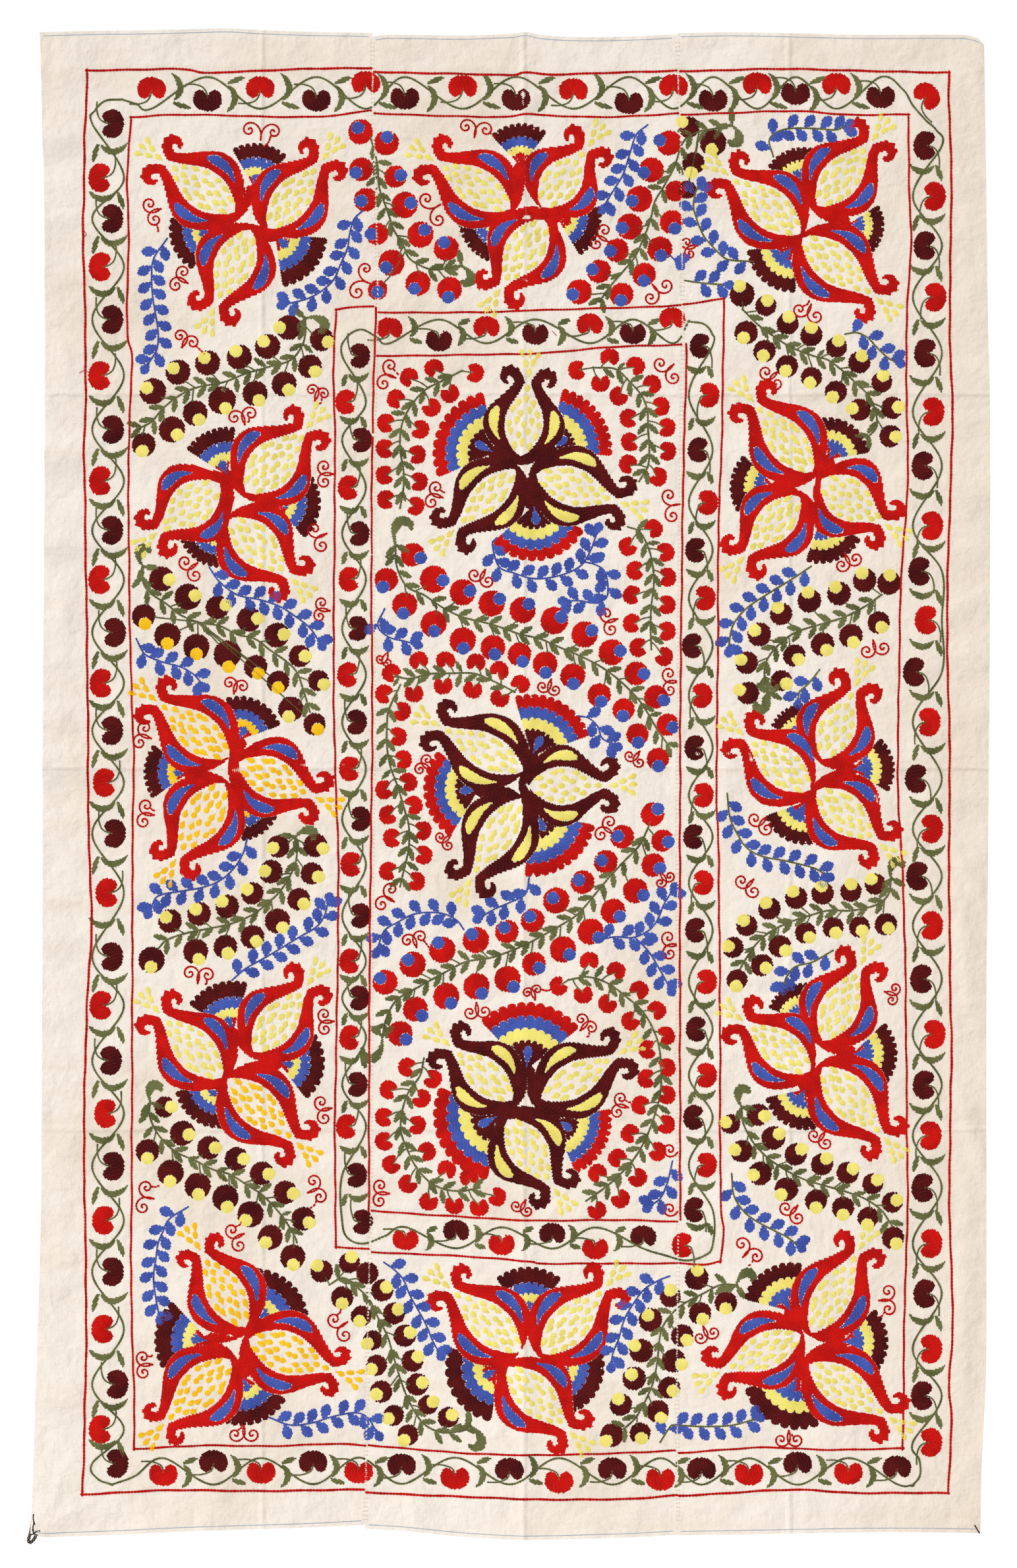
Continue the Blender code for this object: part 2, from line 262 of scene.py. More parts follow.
@dataclass(frozen=True)
class CottonFinish:
    """Unbleached handwoven cotton: plain weave with slubs, soft age marks and a puckered ground."""

    name: str = "unbleached_cotton"
    colour: tuple[float, float, float, float] = linear(238, 228, 217)
    aged: tuple[float, float, float, float] = linear(226, 210, 190)
    fleck: tuple[float, float, float, float] = linear(214, 196, 172)
    thread_pitch: float = 0.9
    roughness: float = 0.9
    creases: tuple[tuple[int, float], ...] = (
        (0, 0.017), (2, -1.111), (2, -0.543), (2, -1.66), (0, -0.38), (0, 0.42),
    )

    def material(self) -> bpy.types.Material:
        """Builds the finish on Object coordinates, with the warp along Z and the weft along X."""
        material, nodes, shader = new_paint(self.name)
        place = nodes.add("ShaderNodeTexCoord").outputs["Object"]
        parts = nodes.add("ShaderNodeSeparateXYZ", {0: place})
        waver = nodes.noise(place, 60.0, 2.0)
        drift = nodes.math("MULTIPLY", waver, 6.0)
        per_metre = 2 * math.pi * 1000 / self.thread_pitch
        warp = nodes.math("SINE", nodes.math("ADD", nodes.math("MULTIPLY", parts.outputs[0], per_metre), drift))
        weft = nodes.math("SINE", nodes.math("ADD", nodes.math("MULTIPLY", parts.outputs[2], per_metre), drift))
        weave = nodes.math("MULTIPLY", warp, weft)
        level = nodes.add("ShaderNodeMapping", {"Vector": place, "Scale": (40.0, 40.0, 900.0)})
        upright = nodes.add("ShaderNodeMapping", {"Vector": place, "Scale": (900.0, 40.0, 30.0)})
        weft_slub = nodes.noise(level.outputs[0], 1.0, 2.0)
        warp_slub = nodes.noise(upright.outputs[0], 1.0, 2.0)
        slubs = nodes.math("ADD", weft_slub, warp_slub)
        stains = nodes.noise(place, 3.2, 5.0, 0.62)
        bands = nodes.add("ShaderNodeMapping", {"Vector": place, "Scale": (1.2, 1.0, 26.0)})
        banded = nodes.noise(bands.outputs[0], 1.0, 4.0)
        aged = nodes.mix(nodes.ramp(stains, 0.45, 0.8), self.colour, self.aged)
        aged = nodes.mix(nodes.math("MULTIPLY", nodes.ramp(banded, 0.45, 0.75), 0.35), aged, self.aged)
        # The cloth is mixed towards the darker, warmer tone over the right edge of the hanging.
        darker_to_right = nodes.math("MULTIPLY", nodes.ramp(parts.outputs[0], 0.45, 0.78), 0.6)
        aged = nodes.mix(darker_to_right, aged, self.aged)
        flecked = nodes.mix(nodes.math("MULTIPLY", nodes.ramp(slubs, 1.08, 1.34), 0.45), aged, self.fleck)
        pucker = nodes.noise(place, 75.0, 3.0, 0.55)
        crease = nodes.noise(place, 14.0, 4.0, 0.5)
        fine = nodes.math("ADD", nodes.math("MULTIPLY", weave, 0.10), nodes.math("MULTIPLY", slubs, 0.34))
        soft = nodes.math("ADD", nodes.math("MULTIPLY", pucker, 3.2),
                          nodes.math("MULTIPLY", crease, 19.0))
        height = nodes.math("ADD", fine, soft)
        for axis, level_at in self.creases:
            away = nodes.math("SUBTRACT", parts.outputs[axis], level_at)
            away = nodes.math("ADD", away, nodes.math("MULTIPLY", crease, 0.006))
            ridge = nodes.math("SUBTRACT", 1.0, nodes.ramp(nodes.math("ABSOLUTE", away), 0.0, 0.007))
            height = nodes.math("ADD", height, nodes.math("MULTIPLY", ridge, 2.2))
        bump = nodes.add("ShaderNodeBump", {"Strength": 0.75, "Distance": 0.001, "Height": height})
        links = material.node_tree.links
        links.new(flecked, shader.inputs["Base Color"])
        links.new(bump.outputs[0], shader.inputs["Normal"])
        shader.inputs["Roughness"].default_value = self.roughness
        shader.inputs["Specular IOR Level"].default_value = 0.2
        shader.inputs["Sheen Weight"].default_value = 0.15
        return material


@dataclass(frozen=True)
class StripFinish:
    """Printed cotton strip: black ground with small cream checks along it."""

    name: str = "printed_strip"
    ground: tuple[float, float, float, float] = linear(26, 22, 20)
    print_colour: tuple[float, float, float, float] = linear(214, 200, 176)

    def material(self) -> bpy.types.Material:
        """Builds the finish from the strip's row map: along it in millimetres, and across it."""
        material, nodes, shader = new_paint(self.name)
        rows = nodes.add("ShaderNodeUVMap", uv_map="rows").outputs[0]
        parts = nodes.add("ShaderNodeSeparateXYZ", {0: rows})
        along = nodes.math("SINE", nodes.math("MULTIPLY", parts.outputs[0], 2 * math.pi / 5.0))
        across = nodes.math("SINE", nodes.math("MULTIPLY", parts.outputs[1], 2 * math.pi))
        checks = nodes.ramp(nodes.math("MULTIPLY", along, across), 0.6, 0.85)
        place = nodes.add("ShaderNodeTexCoord").outputs["Object"]
        fuzzy = nodes.noise(place, 1500.0, 2.0)
        bump = nodes.add("ShaderNodeBump", {"Strength": 0.5, "Distance": 0.0003, "Height": fuzzy})
        links = material.node_tree.links
        links.new(nodes.mix(checks, self.ground, self.print_colour), shader.inputs["Base Color"])
        links.new(bump.outputs[0], shader.inputs["Normal"])
        shader.inputs["Roughness"].default_value = 0.85
        return material


FINISHES = {
    Thread.RED: ThreadFinish("red_thread", linear(200, 15, 8), linear(222, 54, 38), linear(166, 8, 6)),
    Thread.MAROON: ThreadFinish("maroon_thread", linear(86, 14, 14), linear(136, 50, 42), linear(60, 6, 9)),
    Thread.BLUE: ThreadFinish("blue_thread", linear(66, 88, 172), linear(122, 140, 204), linear(54, 70, 148)),
    Thread.YELLOW: ThreadFinish(
        "yellow_thread", linear(238, 225, 118), linear(248, 240, 172), linear(222, 206, 98),
    ),
    Thread.GREEN: ThreadFinish("green_thread", linear(108, 110, 66), linear(142, 144, 100), linear(80, 84, 46)),
    Thread.AMBER: ThreadFinish("amber_thread", linear(247, 198, 28), linear(252, 216, 84), linear(234, 178, 18)),
    Thread.HEM_BLUE: ThreadFinish(
        "hem_blue_thread", linear(176, 190, 204), linear(200, 210, 220), linear(150, 168, 190),
    ),
    Thread.SEAM: ThreadFinish("seam_thread", linear(224, 206, 180), linear(236, 222, 200), linear(204, 182, 150)),
    Thread.BLACK: ThreadFinish("black_thread", linear(34, 30, 28), linear(66, 60, 56), linear(20, 18, 16)),
}


class Line:
    """A smooth curve through a table's points: cubic between them, level outside."""

    def __init__(self, table: Table) -> None:
        """Works out the slopes from each point's neighbours."""
        self.places = np.array([row[0] for row in table], float)
        self.values = np.array([row[1] for row in table], float)
        low = np.maximum(np.arange(len(table)) - 1, 0)
        high = np.minimum(np.arange(len(table)) + 1, len(table) - 1)
        self.slopes = (self.values[high] - self.values[low]) / (self.places[high] - self.places[low])

    def at(self, where: np.ndarray | float) -> np.ndarray:
        """The curve's values at some places.

        Args:
            where: The places to read it at.

        Returns:
            One value for each place.
        """
        where = np.clip(np.asarray(where, float), self.places[0], self.places[-1])
        k = np.clip(np.searchsorted(self.places, where, side="right") - 1, 0, len(self.places) - 2)
        span = self.places[k + 1] - self.places[k]
        share = (where - self.places[k]) / span
        rise = share * share * (3 - 2 * share)
        return (
            self.values[k] + (self.values[k + 1] - self.values[k]) * rise
            + span * self.slopes[k] * share * (1 - share) ** 2
            - span * self.slopes[k + 1] * share * share * (1 - share)
        )


def relief(across: np.ndarray, down: np.ndarray) -> np.ndarray:
    """How far the cloth stands towards the viewer.

    Args:
        across: Places across the chart, in millimetres.
        down: Places down the chart, in millimetres.

    Returns:
        The heights, in millimetres.
    """
    free = np.clip((down - TOP_DOWN - FLAT_TOP) / FOLD_START, 0, 1)
    free = free * free * (3 - 2 * free)
    share = (down - TOP_DOWN) / CLOTH_DROP
    height = np.zeros_like(across)
    for wavelength, phase, size in HANG_WAVES:
        height += size * share * np.sin(2 * math.pi * across / wavelength + phase)
    for centre_across, centre_down, angle, half_length, half_width, size in FOLDS:
        turn = math.radians(angle)
        east, south = across - centre_across, down - centre_down
        along = (east * math.cos(turn) + south * math.sin(turn)) / half_length
        beside = (-east * math.sin(turn) + south * math.cos(turn)) / half_width
        inside = (np.abs(along) < 1) & (np.abs(beside) < 3)
        height += np.where(inside, size * (1 - along * along) ** 2 * np.exp(-beside * beside), 0.0)
    return free * height


def new_piece(
    name: str, spots: np.ndarray, faces: np.ndarray, material: bpy.types.Material,
    rows: np.ndarray | None = None,
) -> bpy.types.Object:
    """Makes a mesh object from arrays.

    Args:
        name: The piece's name.
        spots: Vertices in metres, one row each.
        faces: Vertex numbers, three or four to a face.
        material: The piece's finish.
        rows: The row map's value at each vertex, if the finish needs one.

    Returns:
        The new object, linked to the scene.
    """
    mesh = bpy.data.meshes.new(name)
    corners = faces.shape[1]
    mesh.vertices.add(len(spots))
    mesh.vertices.foreach_set("co", np.ascontiguousarray(spots, np.float32).ravel())
    mesh.loops.add(faces.size)
    mesh.loops.foreach_set("vertex_index", np.ascontiguousarray(faces, np.int32).ravel())
    mesh.polygons.add(len(faces))
    mesh.polygons.foreach_set("loop_start", np.arange(0, faces.size, corners, dtype=np.int32))
    mesh.update(calc_edges=True)
    mesh.validate()
    if rows is not None:
        layer = mesh.uv_layers.new(name="rows")
        layer.data.foreach_set("uv", np.ascontiguousarray(rows[faces.ravel()], np.float32).ravel())
    mesh.materials.append(material)
    mesh.shade_smooth()
    item = bpy.data.objects.new(name, mesh)
    bpy.context.scene.collection.objects.link(item)
    return item


@dataclass
class Panel:
    """One loom-width panel: a closed sheet over a fine grid, on the folds of its solid."""

    name: str
    left: Table
    right: Table
    top: Table
    foot: Table
    flat: Place
    left_shift: float = 0.0
    right_shift: float = 0.0

    def __post_init__(self) -> None:
        """Reads the edge tables and lays out the grid."""
        self.left_line, self.right_line = Line(self.left), Line(self.right)
        self.top_line, self.foot_line = Line(self.top), Line(self.foot)
        upper = self.top[0][1]
        height = self.foot[0][1] - upper
        width = self.right_line.at(CLOTH_DROP / 2) - self.left_line.at(CLOTH_DROP / 2)
        self.columns = np.linspace(0, 1, round(float(width) / GRID_STEP) + 1)
        hem = HEM_DEEP / height
        inner = np.linspace(hem, 1 - hem, round((height - 2 * HEM_DEEP) / GRID_STEP) + 1)
        self.rows = np.concatenate(([0.0], inner, [1.0]))
        row, column = np.meshgrid(self.rows, self.columns, indexing="ij")
        guess = upper + row * height
        across = self.between(guess, column)
        level = self.top_line.at(across)
        self.down = level + (self.foot_line.at(across) - level) * row
        self.across = self.between(self.down, column)
        self.height = relief(self.across, self.down)

    def between(self, down: np.ndarray, share: np.ndarray) -> np.ndarray:
        """Places across the panel at some levels, by their share of its width."""
        start = self.left_line.at(down) + self.left_shift
        return start + (self.right_line.at(down) + self.right_shift - start) * share

    def lift(self, across: np.ndarray, down: np.ndarray) -> np.ndarray:
        """The height of the sheet's own triangles at some places.

        Args:
            across: Places across the chart.
            down: Places down the chart.

        Returns:
            Heights towards the viewer, in millimetres.
        """
        start = self.left_line.at(down) + self.left_shift
        share = (across - start) / (self.right_line.at(down) + self.right_shift - start)
        column = np.clip(share, 0, 1) * (len(self.columns) - 1)
        upper = self.top_line.at(across)
        share = (down - upper) / (self.foot_line.at(across) - upper)
        row = np.interp(share, self.rows, np.arange(len(self.rows)))
        r = np.clip(row.astype(int), 0, len(self.rows) - 2)
        c = np.clip(column.astype(int), 0, len(self.columns) - 2)
        fr, fc = row - r, column - c
        first, last = self.height[r, c], self.height[r + 1, c + 1]
        below, beside = self.height[r + 1, c], self.height[r, c + 1]
        return np.where(
            fr >= fc, first + fr * (below - first) + fc * (last - below),
            first + fc * (beside - first) + fr * (last - beside),
        )

    def spots(self, across: np.ndarray, down: np.ndarray, proud: np.ndarray | float) -> np.ndarray:
        """Points in metres that stand some millimetres proud of the sheet's front."""
        height = self.lift(across, down) + proud
        return np.stack(((across - CENTRE_ACROSS) * MM, -height * MM, -(down - TOP_DOWN) * MM), -1)

    def outline(self, inset: float = 0.4) -> np.ndarray:
        """The panel's outline on the chart, a little inside its edges."""
        down = np.linspace(self.top[0][1] + 3, self.foot[-1][1] - 3, 120)
        left = self.between(down, np.zeros(120)) + inset
        right = self.between(down, np.ones(120)) - inset
        return np.concatenate((np.stack((left, down), 1), np.stack((right, down), 1)[::-1]))

    def sheet(self, material: bpy.types.Material) -> bpy.types.Object:
        """Args:
            material: The cotton's finish.

        Returns:
            The cloth's object.
        """
        rows, columns = self.across.shape
        thick = np.full((rows, columns), CLOTH_THICK)
        thick[[0, 1, -2, -1], :] = HEM_THICK
        x, z = (self.across - CENTRE_ACROSS) * MM, -(self.down - TOP_DOWN) * MM
        front = np.stack((x, -self.height * MM, z), -1).reshape(-1, 3)
        back = np.stack((x, (thick - self.height) * MM, z), -1).reshape(-1, 3)
        number = np.arange(rows * columns).reshape(rows, columns)
        first, beside = number[:-1, :-1].ravel(), number[:-1, 1:].ravel()
        below, last = number[1:, :-1].ravel(), number[1:, 1:].ravel()
        ahead = np.concatenate((np.stack((first, below, last), 1), np.stack((first, last, beside), 1)))
        behind = ahead[:, ::-1] + rows * columns
        rim = np.concatenate((number[0, :], number[1:, -1], number[-1, -2::-1], number[-2:0:-1, 0]))
        after = np.roll(rim, -1)
        shift = rows * columns
        edge = np.concatenate((
            np.stack((rim, after, after + shift), 1), np.stack((rim, after + shift, rim + shift), 1),
        ))
        faces = np.concatenate((ahead, behind, edge))
        item = new_piece(self.name + "_cloth", np.concatenate((front, back)), faces, material)
        item.data.set_sharp_from_angle(angle=math.radians(50))
        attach(item, "root")
        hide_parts(self.name)
        return item


def turned(points: np.ndarray, angle: float) -> np.ndarray:
    """Points turned about the chart's origin, in degrees from right towards down."""
    turn = math.radians(angle)
    cos, sin = math.cos(turn), math.sin(turn)
    return np.stack((points[:, 0] * cos - points[:, 1] * sin, points[:, 0] * sin + points[:, 1] * cos), 1)


def toward(angle: float) -> np.ndarray:
    """One step at an angle, in degrees from right towards down."""
    return np.array((math.cos(math.radians(angle)), math.sin(math.radians(angle))))


def bearing(way: Sequence[float]) -> float:
    """The angle that a way faces, in degrees from right towards down."""
    return math.degrees(math.atan2(way[1], way[0]))


def run_along(path: np.ndarray) -> np.ndarray:
    """The distance along a path at each of its points."""
    return np.concatenate(([0], np.cumsum(np.hypot(*np.diff(path, axis=0).T))))


def smooth_path(points: Sequence[Place], step: float = 3.0, closed: bool = False) -> np.ndarray:
    """A smooth curve through points.

    Args:
        points: The places that it passes.
        step: The distance between the new points, in millimetres.
        closed: Whether it comes back to its start.

    Returns:
        Points along the curve.
    """
    given = np.array(points, float)
    if closed:
        padded = np.vstack((given[-1], given, given[0], given[1]))
    else:
        padded = np.vstack((2 * given[0] - given[1], given, 2 * given[-1] - given[-2]))
    pieces = []
    for k in range(1, len(padded) - 2):
        before, start, end, after = padded[k - 1 : k + 3]
        count = max(1, math.ceil(math.dist(start, end) / step))
        t = np.arange(count)[:, None] / count
        pieces.append(0.5 * (
            2 * start + (end - before) * t + (2 * before - 5 * start + 4 * end - after) * t**2
            + (3 * start - before - 3 * end + after) * t**3
        ))
    if not closed:
        pieces.append(given[-1:])
    return np.vstack(pieces)


def ribbon(spine: Sequence[Place], halves: Sequence[float], step: float = 4.0) -> np.ndarray:
    """The outline of a band that changes width along its spine.

    Args:
        spine: The places that its middle passes.
        halves: Its half width at each of them.
        step: The distance between outline points.

    Returns:
        The closed outline.
    """
    line = smooth_path(spine, step)
    given = np.array(spine, float)
    run = run_along(line)
    stops = [run[int(np.argmin(np.hypot(*(line - place).T)))] for place in given]
    half = np.interp(run, np.maximum.accumulate(np.array(stops)), halves)
    ahead = np.gradient(line, axis=0)
    ahead /= np.maximum(np.hypot(*ahead.T), 1e-9)[:, None]
    side = np.stack((-ahead[:, 1], ahead[:, 0]), 1) * half[:, None]
    return np.concatenate((line + side, (line - side)[::-1]))


def disc(across: float, down: float, radius: float, sides: int = 26) -> np.ndarray:
    """A round outline."""
    turn = np.linspace(0, 2 * math.pi, sides, endpoint=False)
    return np.stack((across + radius * np.cos(turn), down + radius * np.sin(turn)), 1)


def drop(
    across: float, down: float, length: float, width: float, angle: float, fat: float = 0.62,
) -> np.ndarray:
    """A drop with its round end ahead, centred on a place; fat is where along it the drop is widest."""
    share = np.linspace(0, 1, 11)
    half = np.sin(math.pi * share ** (math.log(0.5) / math.log(fat))) ** 0.75 * width / 2
    line = (share - 0.5) * length
    form = np.concatenate((np.stack((line, half), 1), np.stack((line, -half), 1)[-2:0:-1]))
    return turned(form, angle) + (across, down)


def heart(across: float, down: float, long: float, wide: float, angle: float) -> np.ndarray:
    """A kidney-shaped heart whose notch faces an angle.

    Args:
        across: Its middle, across the chart.
        down: Its middle, down the chart.
        long: Its size beside the notch's direction.
        wide: Its size along the notch's direction.
        angle: The way that the notch faces, in degrees.

    Returns:
        The closed outline.
    """
    turn = np.linspace(-math.pi, math.pi, 34, endpoint=False)
    reach = 1.0 + 0.10 * np.exp(-((np.abs(turn) - 0.75) / 0.4) ** 2) - 0.66 * np.exp(-((turn / 0.27) ** 2))
    form = np.stack((reach * np.cos(turn) * wide / 2, reach * np.sin(turn) * long / 2), 1)
    return turned(form, angle) + (across, down)


def crossings(outline: np.ndarray, level: float) -> list[Place]:
    """The stretches of one level that lie inside an outline.

    Args:
        outline: The closed outline.
        level: The second coordinate to cut it at.

    Returns:
        Pairs of start and end.
    """
    above = outline[:, 1] > level
    ahead = np.roll(outline, -1, axis=0)
    cut = np.nonzero(above != np.roll(above, -1))[0]
    if not len(cut):
        return []
    share = (level - outline[cut, 1]) / (ahead[cut, 1] - outline[cut, 1])
    ends = np.sort(outline[cut, 0] + share * (ahead[cut, 0] - outline[cut, 0])).tolist()
    return list(zip(ends[::2], ends[1::2]))


def joined(spans: Iterable[Place]) -> list[Place]:
    """Stretches with those that overlap made one."""
    result: list[Place] = []
    for start, end in sorted(spans):
        if result and start <= result[-1][1]:
            result[-1] = (result[-1][0], max(end, result[-1][1]))
        else:
            result.append((start, end))
    return result


def without(spans: list[Place], holes: Iterable[Place]) -> list[Place]:
    """Stretches with some others taken out of them."""
    for hole_start, hole_end in holes:
        kept = []
        for start, end in spans:
            if hole_end <= start or hole_start >= end:
                kept.append((start, end))
                continue
            if start < hole_start:
                kept.append((start, hole_start))
            if hole_end < end:
                kept.append((hole_end, end))
        spans = kept
    return spans


def within(spans: list[Place], bounds: list[Place]) -> list[Place]:
    """The parts of some stretches that lie inside others."""
    return [
        (max(a, c), min(b, d)) for a, b in spans for c, d in bounds if min(b, d) > max(a, c)
    ]


@dataclass
class RowBook:
    """The rows of one thread on one side of a panel, gathered until their mesh is made."""

    ends: list[tuple[float, ...]] = field(default_factory=list)

    def add(self, start: np.ndarray, end: np.ndarray, half: float, proud: float) -> None:
        """Notes one row: its two ends on the chart, half its width and the height of its crest."""
        self.ends.append((start[0], start[1], end[0], end[1], half, proud))

    def parts(self, panel: Panel, table: np.ndarray, length: np.ndarray) -> np.ndarray:
        """Into how many parts each row is cut, so that it follows the bends of the cloth under it.

        Args:
            panel: The panel that the rows lie on.
            table: The rows as an array.
            length: Their lengths.

        Returns:
            A number for each row, 0 for one so short that a single crest in its middle is enough.
        """
        share = np.linspace(0, 1, 9)
        places = table[:, None, :2] + share[None, :, None] * (table[:, None, 2:4] - table[:, None, :2])
        height = panel.lift(places[..., 0], places[..., 1])
        level = height[:, :1] + (height[:, -1:] - height[:, :1]) * share
        bend = np.abs(height - level).max(axis=1)
        parts = np.clip(np.ceil(np.sqrt(bend / 0.16)), 1, np.ceil(length / 6)).astype(int)
        parts[length < 9] = 0
        return parts

    def mesh(self, panel: Panel, back: bool) -> tuple[np.ndarray, np.ndarray, np.ndarray]:
        """Works out the rows' mesh: low ridges whose ends go down into the cloth, and flatter strips on the back.

        Args:
            panel: The panel that the rows lie on.
            back: Whether they lie on its back.

        Returns:
            Vertices in metres, faces, and the row map's value at each vertex.
        """
        table = np.array(self.ends)
        length = np.hypot(table[:, 2] - table[:, 0], table[:, 3] - table[:, 1])
        parts = self.parts(panel, table, length)
        beside = np.array((-1.0, 1.0) if back else (-1.0, 0.0, 1.0))
        rise = np.array((1.0, 1.0) if back else (0.3, 1.0, 0.3))
        wide = len(beside)
        spots, faces, rows, total = [], [], [], 0
        for count in np.unique(parts):
            chosen = np.nonzero(parts == count)[0]
            own, far = table[chosen], length[chosen, None]
            if count:
                ease = np.minimum(1.6, far * 0.3)
                stops = np.hstack((0 * far, ease + np.linspace(0, 1, count + 1) * (far - 2 * ease), far))
            else:
                stops = far * np.array((0.0, 0.5, 1.0))
            sections = stops.shape[1]
            ahead = (own[:, 2:4] - own[:, :2]) / far
            side = np.stack((-ahead[:, 1], ahead[:, 0]), 1) * own[:, 4:5]
            middle = own[:, None, :2] + stops[..., None] * ahead[:, None, :]
            chart = middle[:, :, None, :] + beside[None, None, :, None] * side[:, None, None, :]
            proud = np.broadcast_to(own[:, 5, None, None] * rise, chart.shape[:3]).copy()
            proud[:, [0, -1], :] = np.where(rise < 1, -0.1, 0.05)
            if back:
                proud = -(proud + CLOTH_THICK)
            spots.append(panel.spots(chart[..., 0].ravel(), chart[..., 1].ravel(), proud.ravel()))
            number = chosen[:, None, None] + 0.5 + 0.48 * beside[None, None, :]
            run = np.broadcast_to(stops[..., None], chart.shape[:3])
            rows.append(np.stack((run.ravel(), np.broadcast_to(number, chart.shape[:3]).ravel()), 1))
            first = total + np.arange(len(chosen))[:, None, None] * sections * wide
            first = first + np.arange(sections - 1)[None, :, None] * wide + np.arange(wide - 1)
            corner = first.ravel()[:, None] + np.array((0, 1, 1 + wide, wide))
            faces.append(corner[:, ::-1] if back else corner)
            total += len(chosen) * sections * wide
        return np.concatenate(spots), np.concatenate(faces), np.concatenate(rows)


@dataclass
class Fill:
    """One motif filled with laid thread."""

    outlines: list[np.ndarray]
    thread: Thread
    angle: float
    holes: list[np.ndarray] = field(default_factory=list)
    pitch: float = 2.7
    proud: float = 0.7
    ragged: float = 0.7


@dataclass
class Embroidery:
    """Sews every motif onto the panels, front and back."""

    panels: list[Panel]
    back_pitch: float = 4.6
    front: dict[tuple[int, Thread], RowBook] = field(default_factory=dict)
    back: dict[tuple[int, Thread], RowBook] = field(default_factory=dict)
    lines: dict[tuple[int, Thread, float], list[np.ndarray]] = field(default_factory=dict)

    def __post_init__(self) -> None:
        """Readies the panels' outlines and the seeded dice."""
        self.borders = [panel.outline() for panel in self.panels]
        self.spread = [(b[:, 0].min(), b[:, 0].max()) for b in self.borders]
        self.dice = np.random.default_rng(SEED)

    def fill(self, item: Fill) -> None:
        """Lays the rows of one motif on each panel that it reaches.

        Args:
            item: The motif.
        """
        low = min(o[:, 0].min() for o in item.outlines)
        high = max(o[:, 0].max() for o in item.outlines)
        for k, (start, end) in enumerate(self.spread):
            if low > end or high < start:
                continue
            crosses = low < start or high > end or any(
                abs(edge - place) < 60 for edge in (start, end) for place in (low, high)
            )
            border = self.borders[k] if crosses else None
            front = self.front.setdefault((k, item.thread), RowBook())
            self.lay(item, front, border, item.pitch, item.proud, item.ragged)
            back = self.back.setdefault((k, item.thread), RowBook())
            self.lay(item, back, border, self.back_pitch, 0.45, item.ragged * 1.8)

    def lay(
        self, item: Fill, book: RowBook, border: np.ndarray | None, pitch: float, proud: float, ragged: float,
    ) -> None:
        """Lays one side's rows of a motif.

        Args:
            item: The motif.
            book: Where the rows are gathered.
            border: The panel's outline, where the motif may cross it.
            pitch: The distance between rows.
            proud: How far a row's crest stands above the cloth.
            ragged: How far row ends stray from the outline.
        """
        outlines = [turned(o, -item.angle) for o in item.outlines]
        holes = [turned(o, -item.angle) for o in item.holes]
        bounds = None if border is None else turned(border, -item.angle)
        low = min(o[:, 1].min() for o in outlines)
        high = max(o[:, 1].max() for o in outlines)
        count = max(1, round((high - low) / pitch))
        step = (high - low) / count
        half = step / 2 + 0.2
        for k in range(count):
            level = low + (k + 0.5) * step
            spans = joined(s for o in outlines for s in crossings(o, level))
            if not spans:
                continue
            if holes:
                spans = without(spans, [s for o in holes for s in crossings(o, level)])
            if bounds is not None:
                spans = within(spans, crossings(bounds, level))
            for start, end in spans:
                first, second = self.dice.uniform(-ragged, ragged, 2)
                start, end = start - first, end + second
                if end - start < 1.6:
                    continue
                ends = turned(np.array(((start, level), (end, level))), item.angle)
                book.add(ends[0], ends[1], half, proud * self.dice.uniform(0.86, 1.12))

    def line(self, path: np.ndarray, thread: Thread, width: float) -> None:
        """Adds a line of chain stitch, cut where it leaves a panel.

        Args:
            path: Points along it.
            thread: Its thread.
            width: The width of its links.
        """
        for k, panel in enumerate(self.panels):
            start = panel.left_line.at(path[:, 1]) + panel.left_shift + width / 2
            end = panel.right_line.at(path[:, 1]) + panel.right_shift - width / 2
            inside = (path[:, 0] >= start) & (path[:, 0] <= end)
            if not inside.any():
                continue
            cuts = np.nonzero(np.diff(inside.astype(int)))[0] + 1
            for piece, kept in zip(np.split(path, cuts), np.split(inside, cuts)):
                if kept[0] and len(piece) > 1:
                    self.lines.setdefault((k, thread, width), []).append(piece)
                    self.back_stitches(k, piece, thread, width)

    def back_stitches(self, k: int, path: np.ndarray, thread: Thread, width: float) -> None:
        """Adds the short stitches that a line of chain stitch leaves on the back.

        Args:
            k: The panel's number.
            path: Points along the line.
            thread: Its thread.
            width: The width of its links on the front.
        """
        run = run_along(path)
        if run[-1] < 5:
            return
        stops = np.linspace(0, run[-1], max(2, round(run[-1] / 5.5)))
        places = np.stack((np.interp(stops, run, path[:, 0]), np.interp(stops, run, path[:, 1])), 1)
        book = self.back.setdefault((k, thread), RowBook())
        for start, end in zip(places[:-1], places[1:]):
            book.add(start, start + (end - start) * 0.88, width * 0.24, 0.4)

    def finish_fills(self, finishes: dict[Thread, bpy.types.Material]) -> None:
        """Makes the meshes of the laid rows, one for each panel, thread and side.

        Args:
            finishes: The threads' materials.
        """
        for side, books in (("front", self.front), ("back", self.back)):
            for (k, thread), book in books.items():
                if not book.ends:
                    continue
                panel = self.panels[k]
                spots, faces, rows = book.mesh(panel, side == "back")
                name = f"{panel.name}_{thread.name.lower()}_fills_{side}"
                piece = new_piece(name, spots, faces, finishes[thread], rows)
                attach(piece, "root")
                LOG.info("%s: %d rows, %d triangles", name, len(book.ends), 2 * len(faces))

